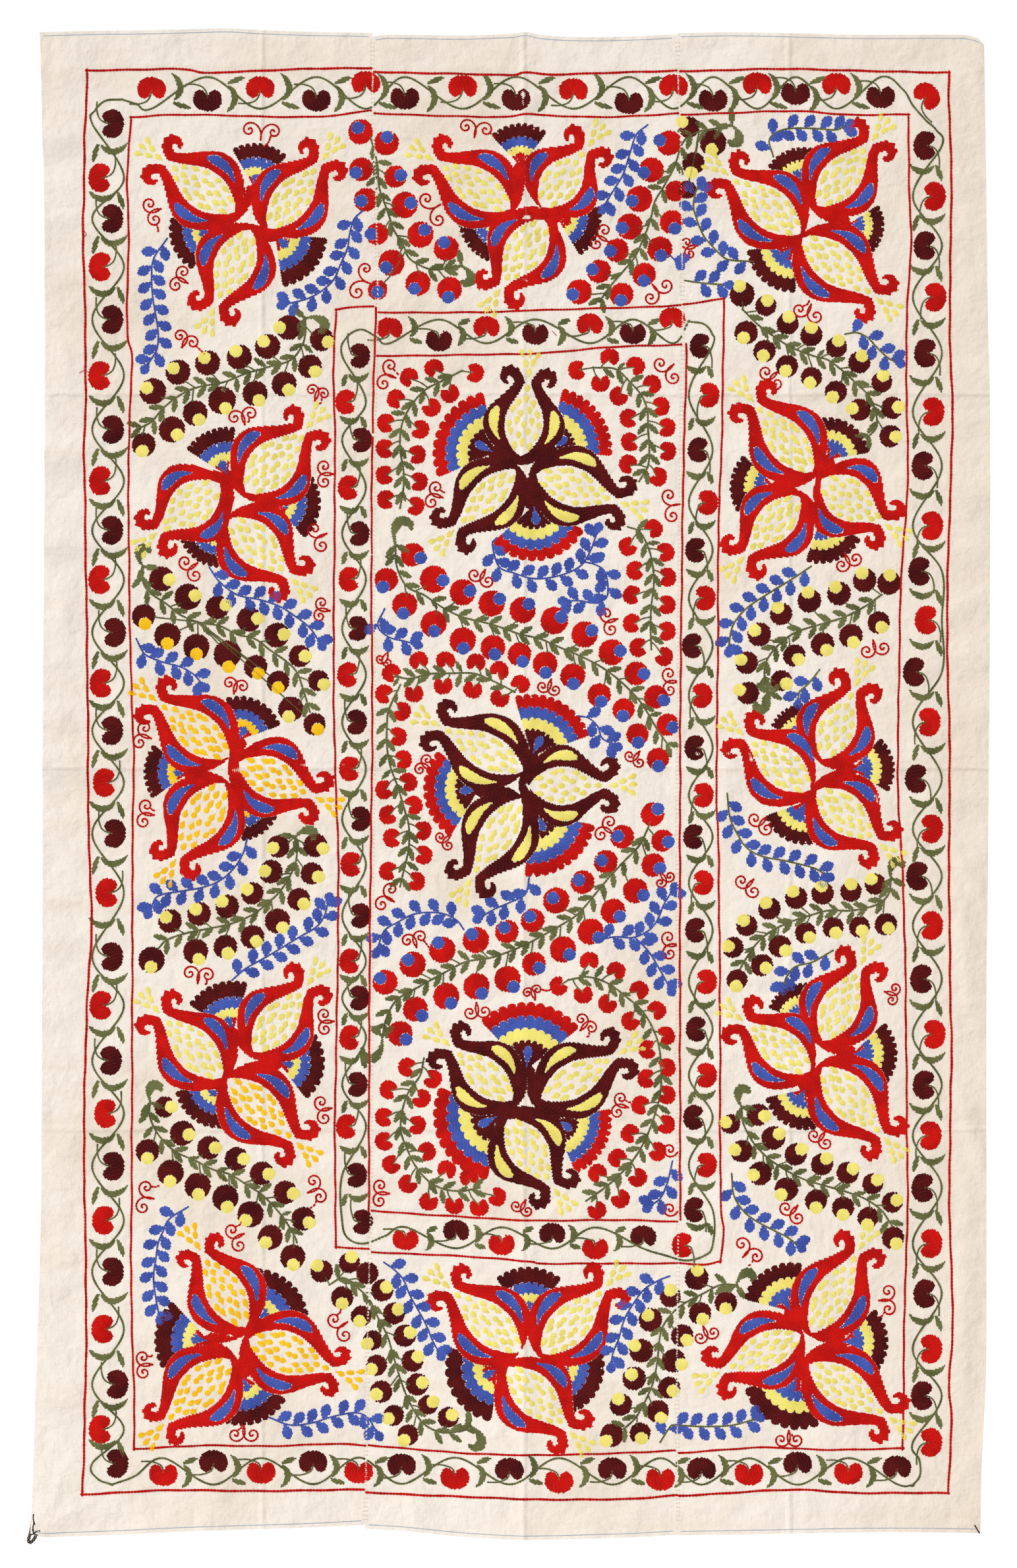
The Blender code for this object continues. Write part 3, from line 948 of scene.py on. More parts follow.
    def finish_lines(self, finishes: dict[Thread, bpy.types.Material]) -> None:
        """Makes the chain-stitch lines, one piece for each panel, thread and width.

        Args:
            finishes: The threads' materials.
        """
        for (k, thread, width), paths in self.lines.items():
            panel = self.panels[k]
            name = f"{panel.name}_{thread.name.lower()}_lines_{round(width * 10)}"
            strands = [panel.spots(path[:, 0], path[:, 1], width * 0.16) for path in paths]
            piece = ChainStitch(width=width).sew(name, strands, finishes[thread])
            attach(piece, "root")
            LOG.info("%s: %d lines, %d faces", name, len(paths), len(piece.data.polygons))


@dataclass(frozen=True)
class ChainStitch:
    """A row of links along a path on the cloth, made by Geometry Nodes."""

    width: float = 3.0
    pitch_share: float = 1.25

    def link(self) -> bpy.types.Object:
        """Makes one link: two raised strands with a valley between them, pointed at both ends."""
        length, half = self.width * self.pitch_share * 1.18, self.width / 2
        ring = []
        for ahead, side in ((-0.62, 0.0), (-0.3, 0.86), (0.3, 1.0), (0.64, 0.0), (0.3, -1.0), (-0.3, -0.86)):
            ring.append((ahead * length, side * half))
        outer = [(x * MM, y * MM, -0.12 * self.width * MM) for x, y in ring]
        crests = [(0.0, sign * 0.5 * half * MM, 0.22 * self.width * MM) for sign in (1, -1)]
        spots = np.array(outer + crests)
        faces = np.array((
            (0, 6, 1), (1, 6, 2), (2, 6, 3), (3, 7, 4), (4, 7, 5), (5, 7, 0), (0, 3, 6), (0, 7, 3),
        ))
        turn = np.arange(6) * 1.3
        rows = np.concatenate((np.stack((turn, np.full(6, 0.1)), 1), [(2.0, 0.5), (5.9, 0.5)]))
        material = bpy.data.materials.new("link_stand_in")
        return new_piece("link", spots, faces, material, rows)

    def tree(self) -> bpy.types.NodeTree:
        """Lays out the tree: paths to evenly spaced links, turned along the path and facing the viewer."""
        tree = bpy.data.node_groups.new("chain_stitch", "GeometryNodeTree")
        face = tree.interface
        face.new_socket("Geometry", in_out="INPUT", socket_type="NodeSocketGeometry")
        face.new_socket("Link", in_out="INPUT", socket_type="NodeSocketObject")
        face.new_socket("Pitch", in_out="INPUT", socket_type="NodeSocketFloat")
        face.new_socket("Seed", in_out="INPUT", socket_type="NodeSocketInt")
        face.new_socket("Finish", in_out="INPUT", socket_type="NodeSocketMaterial")
        face.new_socket("Geometry", in_out="OUTPUT", socket_type="NodeSocketGeometry")
        nodes = Nodes(tree)
        given = nodes.add("NodeGroupInput")
        out = nodes.add("NodeGroupOutput")
        curve = nodes.add("GeometryNodeMeshToCurve", {0: given.outputs["Geometry"]})
        points = nodes.add(
            "GeometryNodeCurveToPoints",
            {"Curve": curve.outputs[0], "Length": given.outputs["Pitch"]}, mode="LENGTH",
        )
        along = nodes.add(
            "FunctionNodeAlignRotationToVector", {"Vector": points.outputs["Tangent"]}, axis="X",
        )
        facing = nodes.add(
            "FunctionNodeAlignRotationToVector", {"Rotation": along.outputs[0], "Vector": (0.0, -1.0, 0.0)},
            axis="Z", pivot_axis="X",
        )
        size = nodes.add(
            "FunctionNodeRandomValue", {2: 0.9, 3: 1.1, "Seed": given.outputs["Seed"]}, data_type="FLOAT",
        )
        link = nodes.add("GeometryNodeObjectInfo", {"Object": given.outputs["Link"]})
        placed = nodes.add("GeometryNodeInstanceOnPoints", {
            "Points": points.outputs["Points"], "Instance": link.outputs["Geometry"],
            "Rotation": facing.outputs[0], "Scale": size.outputs[1],
        })
        real = nodes.add("GeometryNodeRealizeInstances", {0: placed.outputs[0]})
        dressed = nodes.add("GeometryNodeSetMaterial", {
            "Geometry": real.outputs[0], "Material": given.outputs["Finish"],
        })
        tree.links.new(dressed.outputs[0], out.inputs[0])
        return tree

    def sew(self, name: str, strands: list[np.ndarray], finish: bpy.types.Material) -> bpy.types.Object:
        """Sews links along some paths and keeps the result as a plain mesh.

        Args:
            name: The piece's name.
            strands: Each path's points, in metres.
            finish: The thread's material.

        Returns:
            The finished object.
        """
        mesh = bpy.data.meshes.new("strands")
        edges, start = [], 0
        for strand in strands:
            edges += [(start + k, start + k + 1) for k in range(len(strand) - 1)]
            start += len(strand)
        mesh.from_pydata(np.concatenate(strands).tolist(), edges, [])
        host = bpy.data.objects.new("strands", mesh)
        bpy.context.scene.collection.objects.link(host)
        link, tree = self.link(), self.tree()
        modifier = host.modifiers.new("stitch", "NODES")
        modifier.node_group = tree
        names = {s.name: s.identifier for s in tree.interface.items_tree if s.in_out == "INPUT"}
        modifier[names["Link"]] = link
        modifier[names["Pitch"]] = self.width * self.pitch_share * MM
        modifier[names["Seed"]] = SEED
        modifier[names["Finish"]] = finish
        bpy.context.view_layer.update()
        ready = host.evaluated_get(bpy.context.evaluated_depsgraph_get())
        plain = bpy.data.meshes.new_from_object(ready)
        host.modifiers.remove(modifier)
        plain.name = name
        plain.materials.clear()
        plain.materials.append(finish)
        plain.shade_smooth()
        item = bpy.data.objects.new(name, plain)
        bpy.context.scene.collection.objects.link(item)
        for spare in (host, link):
            bpy.data.objects.remove(spare)
        return item


@dataclass
class Trefoil:
    """Three petals with ribbon arms round a cream middle, and a scalloped fan between each two."""

    petals: tuple[tuple[float, float, float, float, float], ...]
    fans: tuple[tuple[float, float, float, float, float], ...]
    arm: Thread = Thread.RED
    arm_drop: Thread = Thread.BLUE
    bands: tuple[Thread, ...] = (Thread.MAROON, Thread.BLUE, Thread.YELLOW, Thread.RED)
    fan_drop: Thread = Thread.BLUE
    amber: tuple[int, ...] = ()
    scallops: int = 9
    grow: float = 1.07
    open: float = 1.12
    reaches: tuple[float, ...] = (1.0, 0.7, 0.49, 0.31)
    gap: float = 24.0
    hook: float = 0.86
    hook_back: float = 5.0

    BULB = rows_of("""
    0.0 0.0, 0.04 0.24, 0.1 0.46, 0.16 0.63, 0.25 0.84, 0.35 0.97, 0.45 1.0, 0.56 0.95, 0.66 0.8,
    0.78 0.54, 0.88 0.33, 1.0 0.15, 1.04 0.08""")
    RING = rows_of("""
    0.0 20.0, 0.04 24.0, 0.12 28.0, 0.2 30.0, 0.35 32.5, 0.5 32.0, 0.65 28.5, 0.8 22.0, 0.95 16.0,
    1.02 13.5""")
    HOOK = rows_of("-32 16, -11 11, 6 13, 19 22, 22 34, 14 42, 4 39, 1 32")
    HOOK_HALF = (10, 9, 8.5, 8, 7.5, 6.5, 4.5, 2)
    HOOK_BUMPS = rows_of("26 20 4.8, 30 31 5.0, 25 42 4.8")
    TIP_SEEDS = rows_of("14 0 0, 27 -6 -14, 29 5 10, 42 -13 -22, 43 -1 -2, 41 11 20")

    def outer(self, petal: tuple[float, ...]) -> list[np.ndarray]:
        """The outlines that one petal's arms fill, before the bulb is left out.

        Args:
            petal: Base, neck and the bulb's half width.

        Returns:
            The arms' outline with its two hooks.
        """
        base, length, angle = self.frame_of(petal)
        bulb, ring = Line(self.BULB), Line(self.RING)
        share = np.linspace(0.02, 1.0, 22)
        line = share * length
        half = bulb.at(share) * petal[4] + ring.at(share)
        line = np.concatenate(([-14.0, -13.0, -8.0], line))
        half = np.concatenate(([0.0, 9.0, 17.0], half))
        body = np.concatenate((np.stack((line, half), 1), np.stack((line, -half), 1)[::-1]))
        forms = [body]
        for sign in (1, -1):
            size = self.hook
            halves = [half * (1 + size) / 2 for half in self.HOOK_HALF]
            start = length - self.hook_back
            spine = [(start + x * size, sign * (11 + (y - 11) * size)) for x, y in self.HOOK]
            forms.append(ribbon(spine, halves))
            for x, y, radius in self.HOOK_BUMPS:
                forms.append(disc(start + x * size, sign * (11 + (y - 11) * size), radius * size, 12))
        return [turned(form, angle) + base for form in forms]

    @staticmethod
    def frame_of(petal: tuple[float, ...]) -> tuple[np.ndarray, float, float]:
        """A petal's base, length and angle."""
        base = np.array(petal[:2], float)
        ahead = np.array(petal[2:4], float) - base
        return base, float(np.hypot(*ahead)), bearing(ahead)

    def bulb(self, petal: tuple[float, ...]) -> np.ndarray:
        """The outline of the cream middle of one petal."""
        base, length, angle = self.frame_of(petal)
        share = np.linspace(0, 1.04, 26)
        half = Line(self.BULB).at(share) * petal[4] * 0.98
        form = np.concatenate((np.stack((share * length, half), 1), np.stack((share * length, -half), 1)[::-1]))
        return turned(form, angle) + base

    def middle(self) -> np.ndarray:
        """The cream triangle where the petals meet, with hollow sides."""
        tips = np.array([fan[:2] for fan in self.fans], float)
        centre = tips.mean(axis=0)
        corners = [centre + (tip - centre) * self.gap / math.dist(tip, centre) for tip in tips]
        corners.sort(key=lambda c: math.atan2(c[1] - centre[1], c[0] - centre[0]))
        sides = []
        for first, second in zip(corners, corners[1:] + corners[:1]):
            hollow = centre + 0.5 * ((first + second) / 2 - centre)
            t = np.linspace(0, 1, 8, endpoint=False)[:, None]
            sides.append((1 - t) ** 2 * first + 2 * t * (1 - t) * hollow + t**2 * second)
        return np.vstack(sides)

    def joins(self) -> list[np.ndarray]:
        """The short stretches where neighbouring arms lie against each other, below each fan."""
        tips = np.array([fan[:2] for fan in self.fans], float)
        centre = tips.mean(axis=0)
        forms = []
        for fan, tip in zip(self.fans, tips):
            ahead = (tip - centre) / math.dist(tip, centre)
            end = tip + ahead * fan[4] * 0.12
            spine = [tuple(place) for place in (centre, (centre + tip) / 2, tip, end)]
            forms.append(ribbon(spine, (12, 15, 13, 4)))
        return forms

    def arm_drops(self, petal: tuple[float, ...]) -> list[np.ndarray]:
        """The curved drops along the middle of a petal's two arms."""
        base, length, angle = self.frame_of(petal)
        bulb, ring = Line(self.BULB), Line(self.RING)
        forms = []
        for sign in (1, -1):
            share = np.linspace(0.2, 0.64, 7)
            middle = bulb.at(share) * petal[4] + ring.at(share) * np.linspace(0.42, 0.56, 7)
            halves = (0.8, 3.0, 5.2, 6.8, 7.6, 6.8, 2.4)
            form = ribbon(list(zip((share * length).tolist(), (sign * middle).tolist())), halves)
            forms.append(turned(form, angle) + base)
        return forms

    def seeds(self, petal: tuple[float, ...]) -> list[np.ndarray]:
        """The seeds in a petal and those fanned past its neck."""
        base, length, angle = self.frame_of(petal)
        bulb = Line(self.BULB)
        forms = []
        lanes = max(4, round((length * 0.94 - 8) / 15.6))
        for k in range(lanes):
            share = (10 + (k + 0.5) * (length * 0.94 - 8) / lanes) / length
            half = float(bulb.at(share)) * petal[4]
            count = max(1, round(2 * (half - 2) / 11.6))
            for j in range(count):
                beside = (j + 0.5 - count / 2) * 2 * (half - 1.5) / count
                forward = 3.0 if (j + k) % 2 else -3.0
                lean = -beside / max(half, 1) * 16 * (1 if share > 0.38 else -0.6)
                long = 17.0 if share < 0.3 else 14.0
                forms.append(drop(share * length + forward, beside, long, 7.9, lean))
        for reach, beside, lean in self.TIP_SEEDS:
            forms.append(drop(length + reach, beside, 15.5, 7.6, lean))
        return [turned(form, angle) + base for form in forms]

    def fan_band(self, fan: tuple[float, ...], share: float) -> np.ndarray:
        """A fan's outline out to one band's scalloped edge."""
        across, down, angle, spread, radius = fan
        lobes = max(3, round(self.scallops * (0.3 + 0.7 * share)))
        t = np.linspace(0, 1, lobes * 10 + 1)
        bump = np.abs(np.sin(math.pi * lobes * t)) ** 0.5
        reach = radius * self.grow * share - (1 - bump) * (4.5 + 2.2 * share)
        turn = np.radians(angle + (2 * t - 1) * spread * self.open)
        rim = np.stack((across + reach * np.cos(turn), down + reach * np.sin(turn)), 1)
        return np.vstack((rim, [(across, down)]))

    def sew(self, work: Embroidery) -> None:
        """Sews the whole motif.

        Args:
            work: The embroidery that takes the rows.
        """
        outers = [form for petal in self.petals for form in self.outer(petal)]
        bulbs = [self.bulb(petal) for petal in self.petals]
        middle = self.middle()
        drops = [form for petal in self.petals for form in self.arm_drops(petal)]
        for form, fan in zip(self.joins(), self.fans):
            work.fill(Fill([form], self.arm, fan[2] + 40, bulbs + [middle] + drops, proud=0.5))
        for petal in self.petals:
            angle = self.frame_of(petal)[2]
            own = self.outer(petal)
            work.fill(Fill(own, self.arm, angle + 58, bulbs + [middle] + drops))
            for form in self.arm_drops(petal):
                work.fill(Fill([form], self.arm_drop, angle + 20, pitch=2.4, proud=0.85))
        for k, petal in enumerate(self.petals):
            angle = self.frame_of(petal)[2]
            thread = Thread.AMBER if k in self.amber else Thread.YELLOW
            for seed in self.seeds(petal):
                work.fill(Fill([seed], thread, angle, pitch=2.2, proud=1.0, ragged=0.3))
        for fan in self.fans:
            edges = [self.fan_band(fan, share) for share in self.reaches]
            place = np.array(fan[:2]) + toward(fan[2]) * fan[4] * 0.2
            heart_drop = drop(*place, fan[4] * 0.36, 13, fan[2], 0.7)
            covers = outers + bulbs + [middle]
            for number, thread in enumerate(self.bands):
                inner = [edges[number + 1]] if number + 1 < len(edges) else [heart_drop]
                work.fill(Fill([edges[number]], thread, fan[2] + 4, inner + covers, pitch=2.4, ragged=0.4))
            work.fill(Fill([heart_drop], self.fan_drop, fan[2], covers, proud=0.85))


M, R, B, Y, G, A = Thread.MAROON, Thread.RED, Thread.BLUE, Thread.YELLOW, Thread.GREEN, Thread.AMBER
RIGHT_BANDS = (M, Y, B, R)
CENTRE: dict[str, object] = {
    "arm": M, "arm_drop": Y, "bands": (R, B, Y, M), "scallops": 11, "open": 1.04,
    "reaches": (1.0, 0.8, 0.62, 0.44), "gap": 18.0,
}

# Petals: base across and down, neck across and down, half width; fans: tip, angle, half spread, radius
TREFOILS = (
    Trefoil(
        rows_of("357 321 252 247 31, 407 347 485 248 29, 380 348 328 461 31"),
        rows_of("387 287 277 33 66, 323 350 163 41 63, 417 357 42 35 75"),
    ),
    Trefoil(
        rows_of("775 317 663 247 30, 821 315 888 228 31, 827 333 762 433 32"),
        rows_of("790 253 267 36 62, 767 330 142 28 68, 845 330 22 33 64"), fan_drop=R,
    ),
    Trefoil(
        rows_of("1240 313 1319 218 30, 1215 355 1110 270 31, 1217 360 1324 448 31"),
        rows_of("1218 287 248 32 60, 1285 342 7 36 54, 1202 375 131 41 65"), bands=RIGHT_BANDS,
    ),
    Trefoil(
        rows_of("373 748 460 655 36, 333 733 243 805 34, 348 787 437 873 32"),
        rows_of("345 722 246 30 70, 417 763 7 39 66, 332 800 131 37 58"),
    ),
    Trefoil(
        rows_of("348 1150 242 1068 31, 362 1158 473 1208 31, 340 1188 270 1299 33"),
        rows_of("363 1123 296 40 63, 287 1172 181 33 65, 363 1213 56 37 60"),
        bands=(M, B, A, R), amber=(0, 1, 2),
    ),
    Trefoil(
        rows_of("337 1637 246 1542 31, 385 1597 462 1500 30, 345 1637 445 1730 30"),
        rows_of("353 1568 250 33 75, 422 1612 7 41 67, 333 1645 128 38 64"), amber=(2,),
    ),
    Trefoil(
        rows_of("373 2015 307 1903 30, 377 2032 503 2080 33, 350 2063 253 2157 33"),
        rows_of("387 2007 312 37 77, 317 2035 188 35 78, 367 2088 70 38 72"), amber=(0, 1, 2), hook=0.76,
    ),
    Trefoil(
        rows_of("790 2052 687 1960 31, 822 2055 915 1957 31, 770 2075 860 2168 31"),
        rows_of("802 2000 270 36 73, 757 2077 151 47 77, 840 2073 27 39 73"),
    ),
    Trefoil(
        rows_of("1233 717 1147 615 30, 1245 728 1337 792 34, 1213 753 1133 840 29"),
        rows_of("1257 697 305 41 60, 1177 740 186 35 66, 1245 787 68 37 65"), bands=RIGHT_BANDS,
    ),
    Trefoil(
        rows_of("1247 1153 1295 1048 30, 1230 1200 1133 1120 31, 1239 1199 1330 1277 31"),
        rows_of("1220 1123 240 34 52, 1293 1168 352 36 61, 1222 1217 115 41 62"), bands=RIGHT_BANDS,
    ),
    Trefoil(
        rows_of("1248 1580 1303 1470 30, 1230 1627 1132 1553 30, 1247 1620 1337 1722 33"),
        rows_of("1220 1550 238 34 55, 1293 1600 358 38 65, 1222 1653 121 42 59"), bands=RIGHT_BANDS,
    ),
    Trefoil(
        rows_of("1230 2023 1300 1903 29, 1215 2025 1098 2080 29, 1227 2070 1343 2148 30"),
        rows_of("1200 1990 239 40 70, 1277 2037 357 38 67, 1210 2087 116 45 78"), bands=RIGHT_BANDS,
    ),
    Trefoil(
        rows_of("790 693 801 580 30, 782 712 693 800 25, 813 720 935 761 30"),
        rows_of("750 687 208 50 88, 833 683 324 40 90, 810 767 82 54 80"),
        **CENTRE,
    ),
    Trefoil(
        rows_of("794 1171 672 1105 28, 802 1193 917 1192 30, 790 1212 718 1328 28"),
        rows_of("807 1147 297 42 88, 727 1197 172 49 80, 807 1233 54 41 92"),
        **CENTRE,
    ),
    Trefoil(
        rows_of("778 1670 687 1592 28, 821 1668 933 1603 27, 770 1698 837 1798 31"),
        rows_of("799 1623 274 46 96, 757 1693 153 51 94, 840 1700 28 38 83"),
        **CENTRE,
    ),
)


@dataclass
class HeartRow:
    """Hearts set in turn on both sides of a border's middle line, with a vine that winds between them."""

    hearts: tuple[tuple[float, float, Thread], ...]
    middle: float
    level: bool = False
    long: float = 44.0
    wide: float = 34.0
    swing: float = 24.0
    above: bool = False
    start: tuple[Place, ...] = ()
    end: tuple[Place, ...] = ()
    corner: tuple[tuple[float, float, Thread, float], ...] = ()

    def opposite(self, across: float, down: float) -> Place:
        """The vine's place opposite a heart."""
        if self.level:
            return (across, self.middle + (self.swing if down < self.middle else -self.swing))
        return (self.middle + (self.swing if across < self.middle else -self.swing), down)

    def sew(self, work: Embroidery) -> None:
        """Sews the hearts, the vine, its stalks and its leaves.

        Args:
            work: The embroidery that takes the rows and lines.
        """
        turns = [self.opposite(across, down) for across, down, _ in self.hearts]
        work.line(smooth_path((*self.start, *turns, *self.end)), G, 3.5)
        for across, down, thread, facing in self.corner:
            self.heart(work, across, down, thread, facing, 1)
        for k, (across, down, thread) in enumerate(self.hearts):
            low = (down if self.level else across) < self.middle
            facing = (90 if low else -90) if self.level else (0 if low else 180)
            sign = (-1 if low else 1) if self.level else (1 if low != self.above else -1)
            self.heart(work, across, down, thread, facing, sign)
            if k + 1 < len(self.hearts):
                self.leaves(work, self.hearts[k], self.hearts[k + 1])

    def heart(
        self, work: Embroidery, across: float, down: float, thread: Thread, facing: float, sign: int,
    ) -> None:
        """Sews one heart and the thin curl from the vine to its notch.

        Args:
            work: The embroidery that takes the rows and lines.
            across: The heart's middle, across the chart.
            down: The heart's middle, down the chart.
            thread: Its thread.
            facing: The way that its notch faces, in degrees.
            sign: The side that the curl comes from.
        """
        work.fill(Fill([heart(across, down, self.long, self.wide, facing)], thread, facing + 62))
        far = self.swing / 24
        form = np.array((
            (4, 0), (12, -2 * sign), (20 * far, -8 * sign), (24 * far, -20 * sign), (24 * far, -32 * sign),
        ))
        work.line(smooth_path(turned(form, facing) + (across, down)), G, 2.8)

    def leaves(self, work: Embroidery, here: tuple, there: tuple) -> None:
        """Sews the two sickle leaves where the vine crosses the border's middle, between two hearts.

        Args:
            work: The embroidery that takes the rows.
            here: The heart before the crossing.
            there: The heart after it.
        """
        middle = np.array(((here[0] + there[0]) / 2, (here[1] + there[1]) / 2))
        middle[1 if self.level else 0] = self.middle
        low = (here[1] if self.level else here[0]) < self.middle
        side = 1.0 if low else -1.0
        far = self.swing / 24
        onward = ((-10, 14), (-1, 18), (8, 21), (17, 24))
        over = ((-8, 11), (-1, 2), (1, -10), (-4, -22), (-12, -30))
        for spine, halves in ((onward, (1.2, 3.5, 3.6, 0.6)), (over, (1.4, 4.2, 4.8, 3.6, 0.6))):
            places = [(u * far, v * far * side) for u, v in spine]
            if not self.level:
                places = [(v, u) for u, v in places]
            form = ribbon(places, halves, 3.0) + middle
            angle = bearing(np.subtract(places[-1], places[0]))
            work.fill(Fill([form], G, angle + 10, pitch=2.3, ragged=0.3))


HEART_ROWS = (
    HeartRow((
        (230, 134, R), (315, 152, M), (395, 133, R), (480, 152, M), (555, 125, R), (614, 149, M),
        (702, 131, R), (783, 151, M), (870, 136, R), (954, 156, M), (1022, 130, R), (1082, 152, M), (1149, 127, R),
        (1207, 142, M), (1269, 128, R), (1336, 147, M),
    ), 141, level=True, start=((185, 151), (207, 158)), end=rows_of("""
    1370 136, 1385 160, 1405 183"""),
        corner=((1407, 145, R, 135),)),
    HeartRow((
        (1403, 221, M), (1418, 298, R), (1403, 373, M), (1419, 451, R), (1404, 536, M), (1416, 625, R),
        (1400, 707, M), (1414, 798, R), (1395, 867, M), (1405, 941, R), (1387, 1020, M), (1410, 1096, R),
        (1390, 1182, M), (1414, 1258, R), (1392, 1330, M), (1414, 1405, R), (1398, 1486, M), (1418, 1570, R),
        (1402, 1647, M), (1412, 1724, R), (1400, 1803, M), (1413, 1888, R), (1403, 1964, M), (1413, 2048, R),
        (1399, 2119, M), (1413, 2190, R),
    ), 1407, above=True, swing=22, start=((1405, 183), (1421, 198)), end=rows_of("""
    1395 2216, 1396 2240, 1385 2255""")),
    HeartRow((
        (171, 188, M), (151, 270, R), (170, 332, M), (152, 405, R), (170, 485, M), (151, 570, R),
        (171, 652, M), (152, 730, R), (170, 805, M), (151, 880, R), (174, 960, M), (153, 1037, R),
        (170, 1109, M), (158, 1188, R),
        (174, 1265, M), (162, 1355, R), (170, 1452, M), (153, 1526, R), (168, 1610, M), (160, 1690, R),
        (172, 1770, M), (157, 1852, R), (171, 1930, M), (156, 2017, R), (178, 2101, M), (152, 2169, R),
        (178, 2221, M),
    ), 164, start=rows_of("""
    185 151, 160 153, 144 168"""), end=((148, 2244), (170, 2253))),
    HeartRow((
        (248, 2238, R), (324, 2218, M), (396, 2235, R), (475, 2219, M), (544, 2235, R), (609, 2224, M),
        (690, 2244, R), (773, 2230, M), (848, 2249, R), (929, 2229, M), (1002, 2245, R), (1064, 2229, M),
        (1136, 2237, R), (1210, 2220, M), (1287, 2236, R), (1361, 2227, M),
    ), 2233, level=True, swing=20, start=((170, 2253), (205, 2240)), end=((1385, 2255),)),
    HeartRow((
        (546, 540, M), (524, 610, R), (549, 668, M), (528, 740, R), (545, 810, M), (529, 879, R), (543, 954, M),
        (527, 1024, R), (541, 1096, M), (530, 1167, R), (547, 1243, M), (532, 1312, R), (547, 1390, M),
        (530, 1459, R), (545, 1515, M), (530, 1575, R), (542, 1646, M), (525, 1710, R), (541, 1784, M),
        (550, 1855, M),
    ), 537, long=38, wide=31, swing=18, start=rows_of("""
    572 512, 548 500, 526 512"""),
        end=rows_of("528 1880, 552 1888, 585 1876")),
    HeartRow((
        (591, 498, R), (666, 517, M), (738, 496, R), (812, 507, M), (895, 492, R), (960, 506, M), (1020, 483, R),
    ), 503, level=True, long=40, wide=32, swing=18, start=((572, 512),), end=((1045, 488),)),
    HeartRow((
        (1062, 525, M), (1076, 600, R), (1059, 683, M), (1074, 763, R), (1055, 835, M), (1070, 908, R),
        (1050, 980, M), (1065, 1056, R), (1054, 1135, M), (1067, 1207, R), (1052, 1270, M), (1067, 1340, R),
        (1055, 1412, M), (1072, 1490, R), (1056, 1562, M), (1072, 1632, R), (1052, 1696, M), (1072, 1768, R),
        (1053, 1836, M), (1035, 1890, R),
    ), 1063, above=True, long=38, wide=31, swing=18, start=rows_of("""
    1045 488, 1068 492, 1080 506"""),
        end=rows_of("1068 1906, 1040 1913, 1008 1905")),
    HeartRow((
        (615, 1882, R), (692, 1868, M), (761, 1889, R), (838, 1872, M), (903, 1895, R), (976, 1876, M),
    ), 1879, level=True, long=40, wide=32, swing=16, start=((585, 1876),), end=((1008, 1905),)),
)

BORDER_LINES = (
    (4.0, (
        rows_of("132 107, 270 105, 310 111, 350 109, 460 105, 565 103"),
        rows_of("566 109, 650 111, 770 114, 797 110, 850 113, 1000 108, 1028 107"),
        rows_of("1030 108, 1200 105, 1400 110, 1440 110"),
        rows_of("""
    132 107, 131 150, 129 200, 127 300, 126 350, 129 480, 130 600, 128 690, 131 900, 134 1150, 134 1250,
    139 1400, 132 1530, 128 1680, 128 1780, 131 2000, 128 2180, 125 2268"""),
        rows_of("""
    1440 110, 1439 150, 1443 240, 1442 400, 1441 500, 1445 640, 1440 800, 1437 950, 1441 1150, 1440 1300,
    1442 1500, 1444 1600, 1442 1700, 1441 1850, 1446 2000, 1440 2100, 1444 2150, 1439 2266"""),
        rows_of("125 2268, 255 2262, 444 2263, 554 2261"),
        rows_of("557 2266, 714 2273, 796 2275, 865 2276, 947 2275, 1026 2269"),
        rows_of("1031 2270, 1202 2261, 1304 2266, 1439 2267"),
    )),
    (3.6, (
        rows_of("199 178, 270 174, 400 177, 500 176, 564 167"),
        rows_of("569 172, 750 178, 797 173, 830 175, 920 178, 1028 172"),
        rows_of("1032 174, 1200 169, 1290 174, 1378 174"),
        rows_of("""
    199 178, 197 200, 193 270, 195 350, 193 500, 200 550, 195 700, 197 950, 201 1090, 203 1150, 201 1300,
    201 1400, 200 1760, 199 1950, 203 2100, 204 2199"""),
        rows_of("""
    1378 174, 1378 200, 1380 300, 1382 370, 1376 480, 1375 560, 1377 740, 1368 860, 1364 1020, 1363 1100,
    1362 1190, 1368 1300, 1372 1400, 1374 1500, 1376 1700, 1377 1850, 1373 1960, 1371 2100, 1370 2199"""),
        rows_of("204 2199, 300 2194, 400 2195, 500 2192, 553 2195"),
        rows_of("557 2194, 650 2202, 714 2207, 796 2208, 900 2207, 1026 2201"),
        rows_of("1031 2205, 1150 2197, 1250 2200, 1370 2199"),
        rows_of("510 470, 530 466, 565 465"),
        rows_of("575 474, 745 474, 800 471, 960 467, 1032 463"),
        ((1038, 462), (1098, 453)),
        rows_of("""
    510 470, 506 550, 508 700, 506 1000, 508 1150, 513 1300, 512 1480, 508 1700, 509 1850, 510 1893"""),
        rows_of("""
    1098 453, 1097 560, 1094 700, 1090 800, 1089 1000, 1087 1180, 1090 1300, 1091 1400, 1092 1480,
    1093 1800, 1098 1870, 1092 1914"""),
        ((510, 1893), (558, 1896)),
        rows_of("565 1901, 679 1906, 799 1914, 835 1918, 1027 1917"),
        rows_of("1032 1917, 1070 1919, 1092 1914"),
        rows_of("573 540, 795 537, 930 527, 1033 523"),
        rows_of("""
    570.2 468, 567.4 560, 564.4 700, 563.4 900, 564.8 1100, 562.4 1300, 560.4 1500, 559.4 1840"""),
        rows_of("1041 523, 1041 560, 1039 640, 1037 700, 1034 900, 1032 1100, 1031.5 1500, 1032 1850"),
        rows_of("565 1838, 679 1846, 799 1852, 957 1852, 1027 1854"),
    )),
)


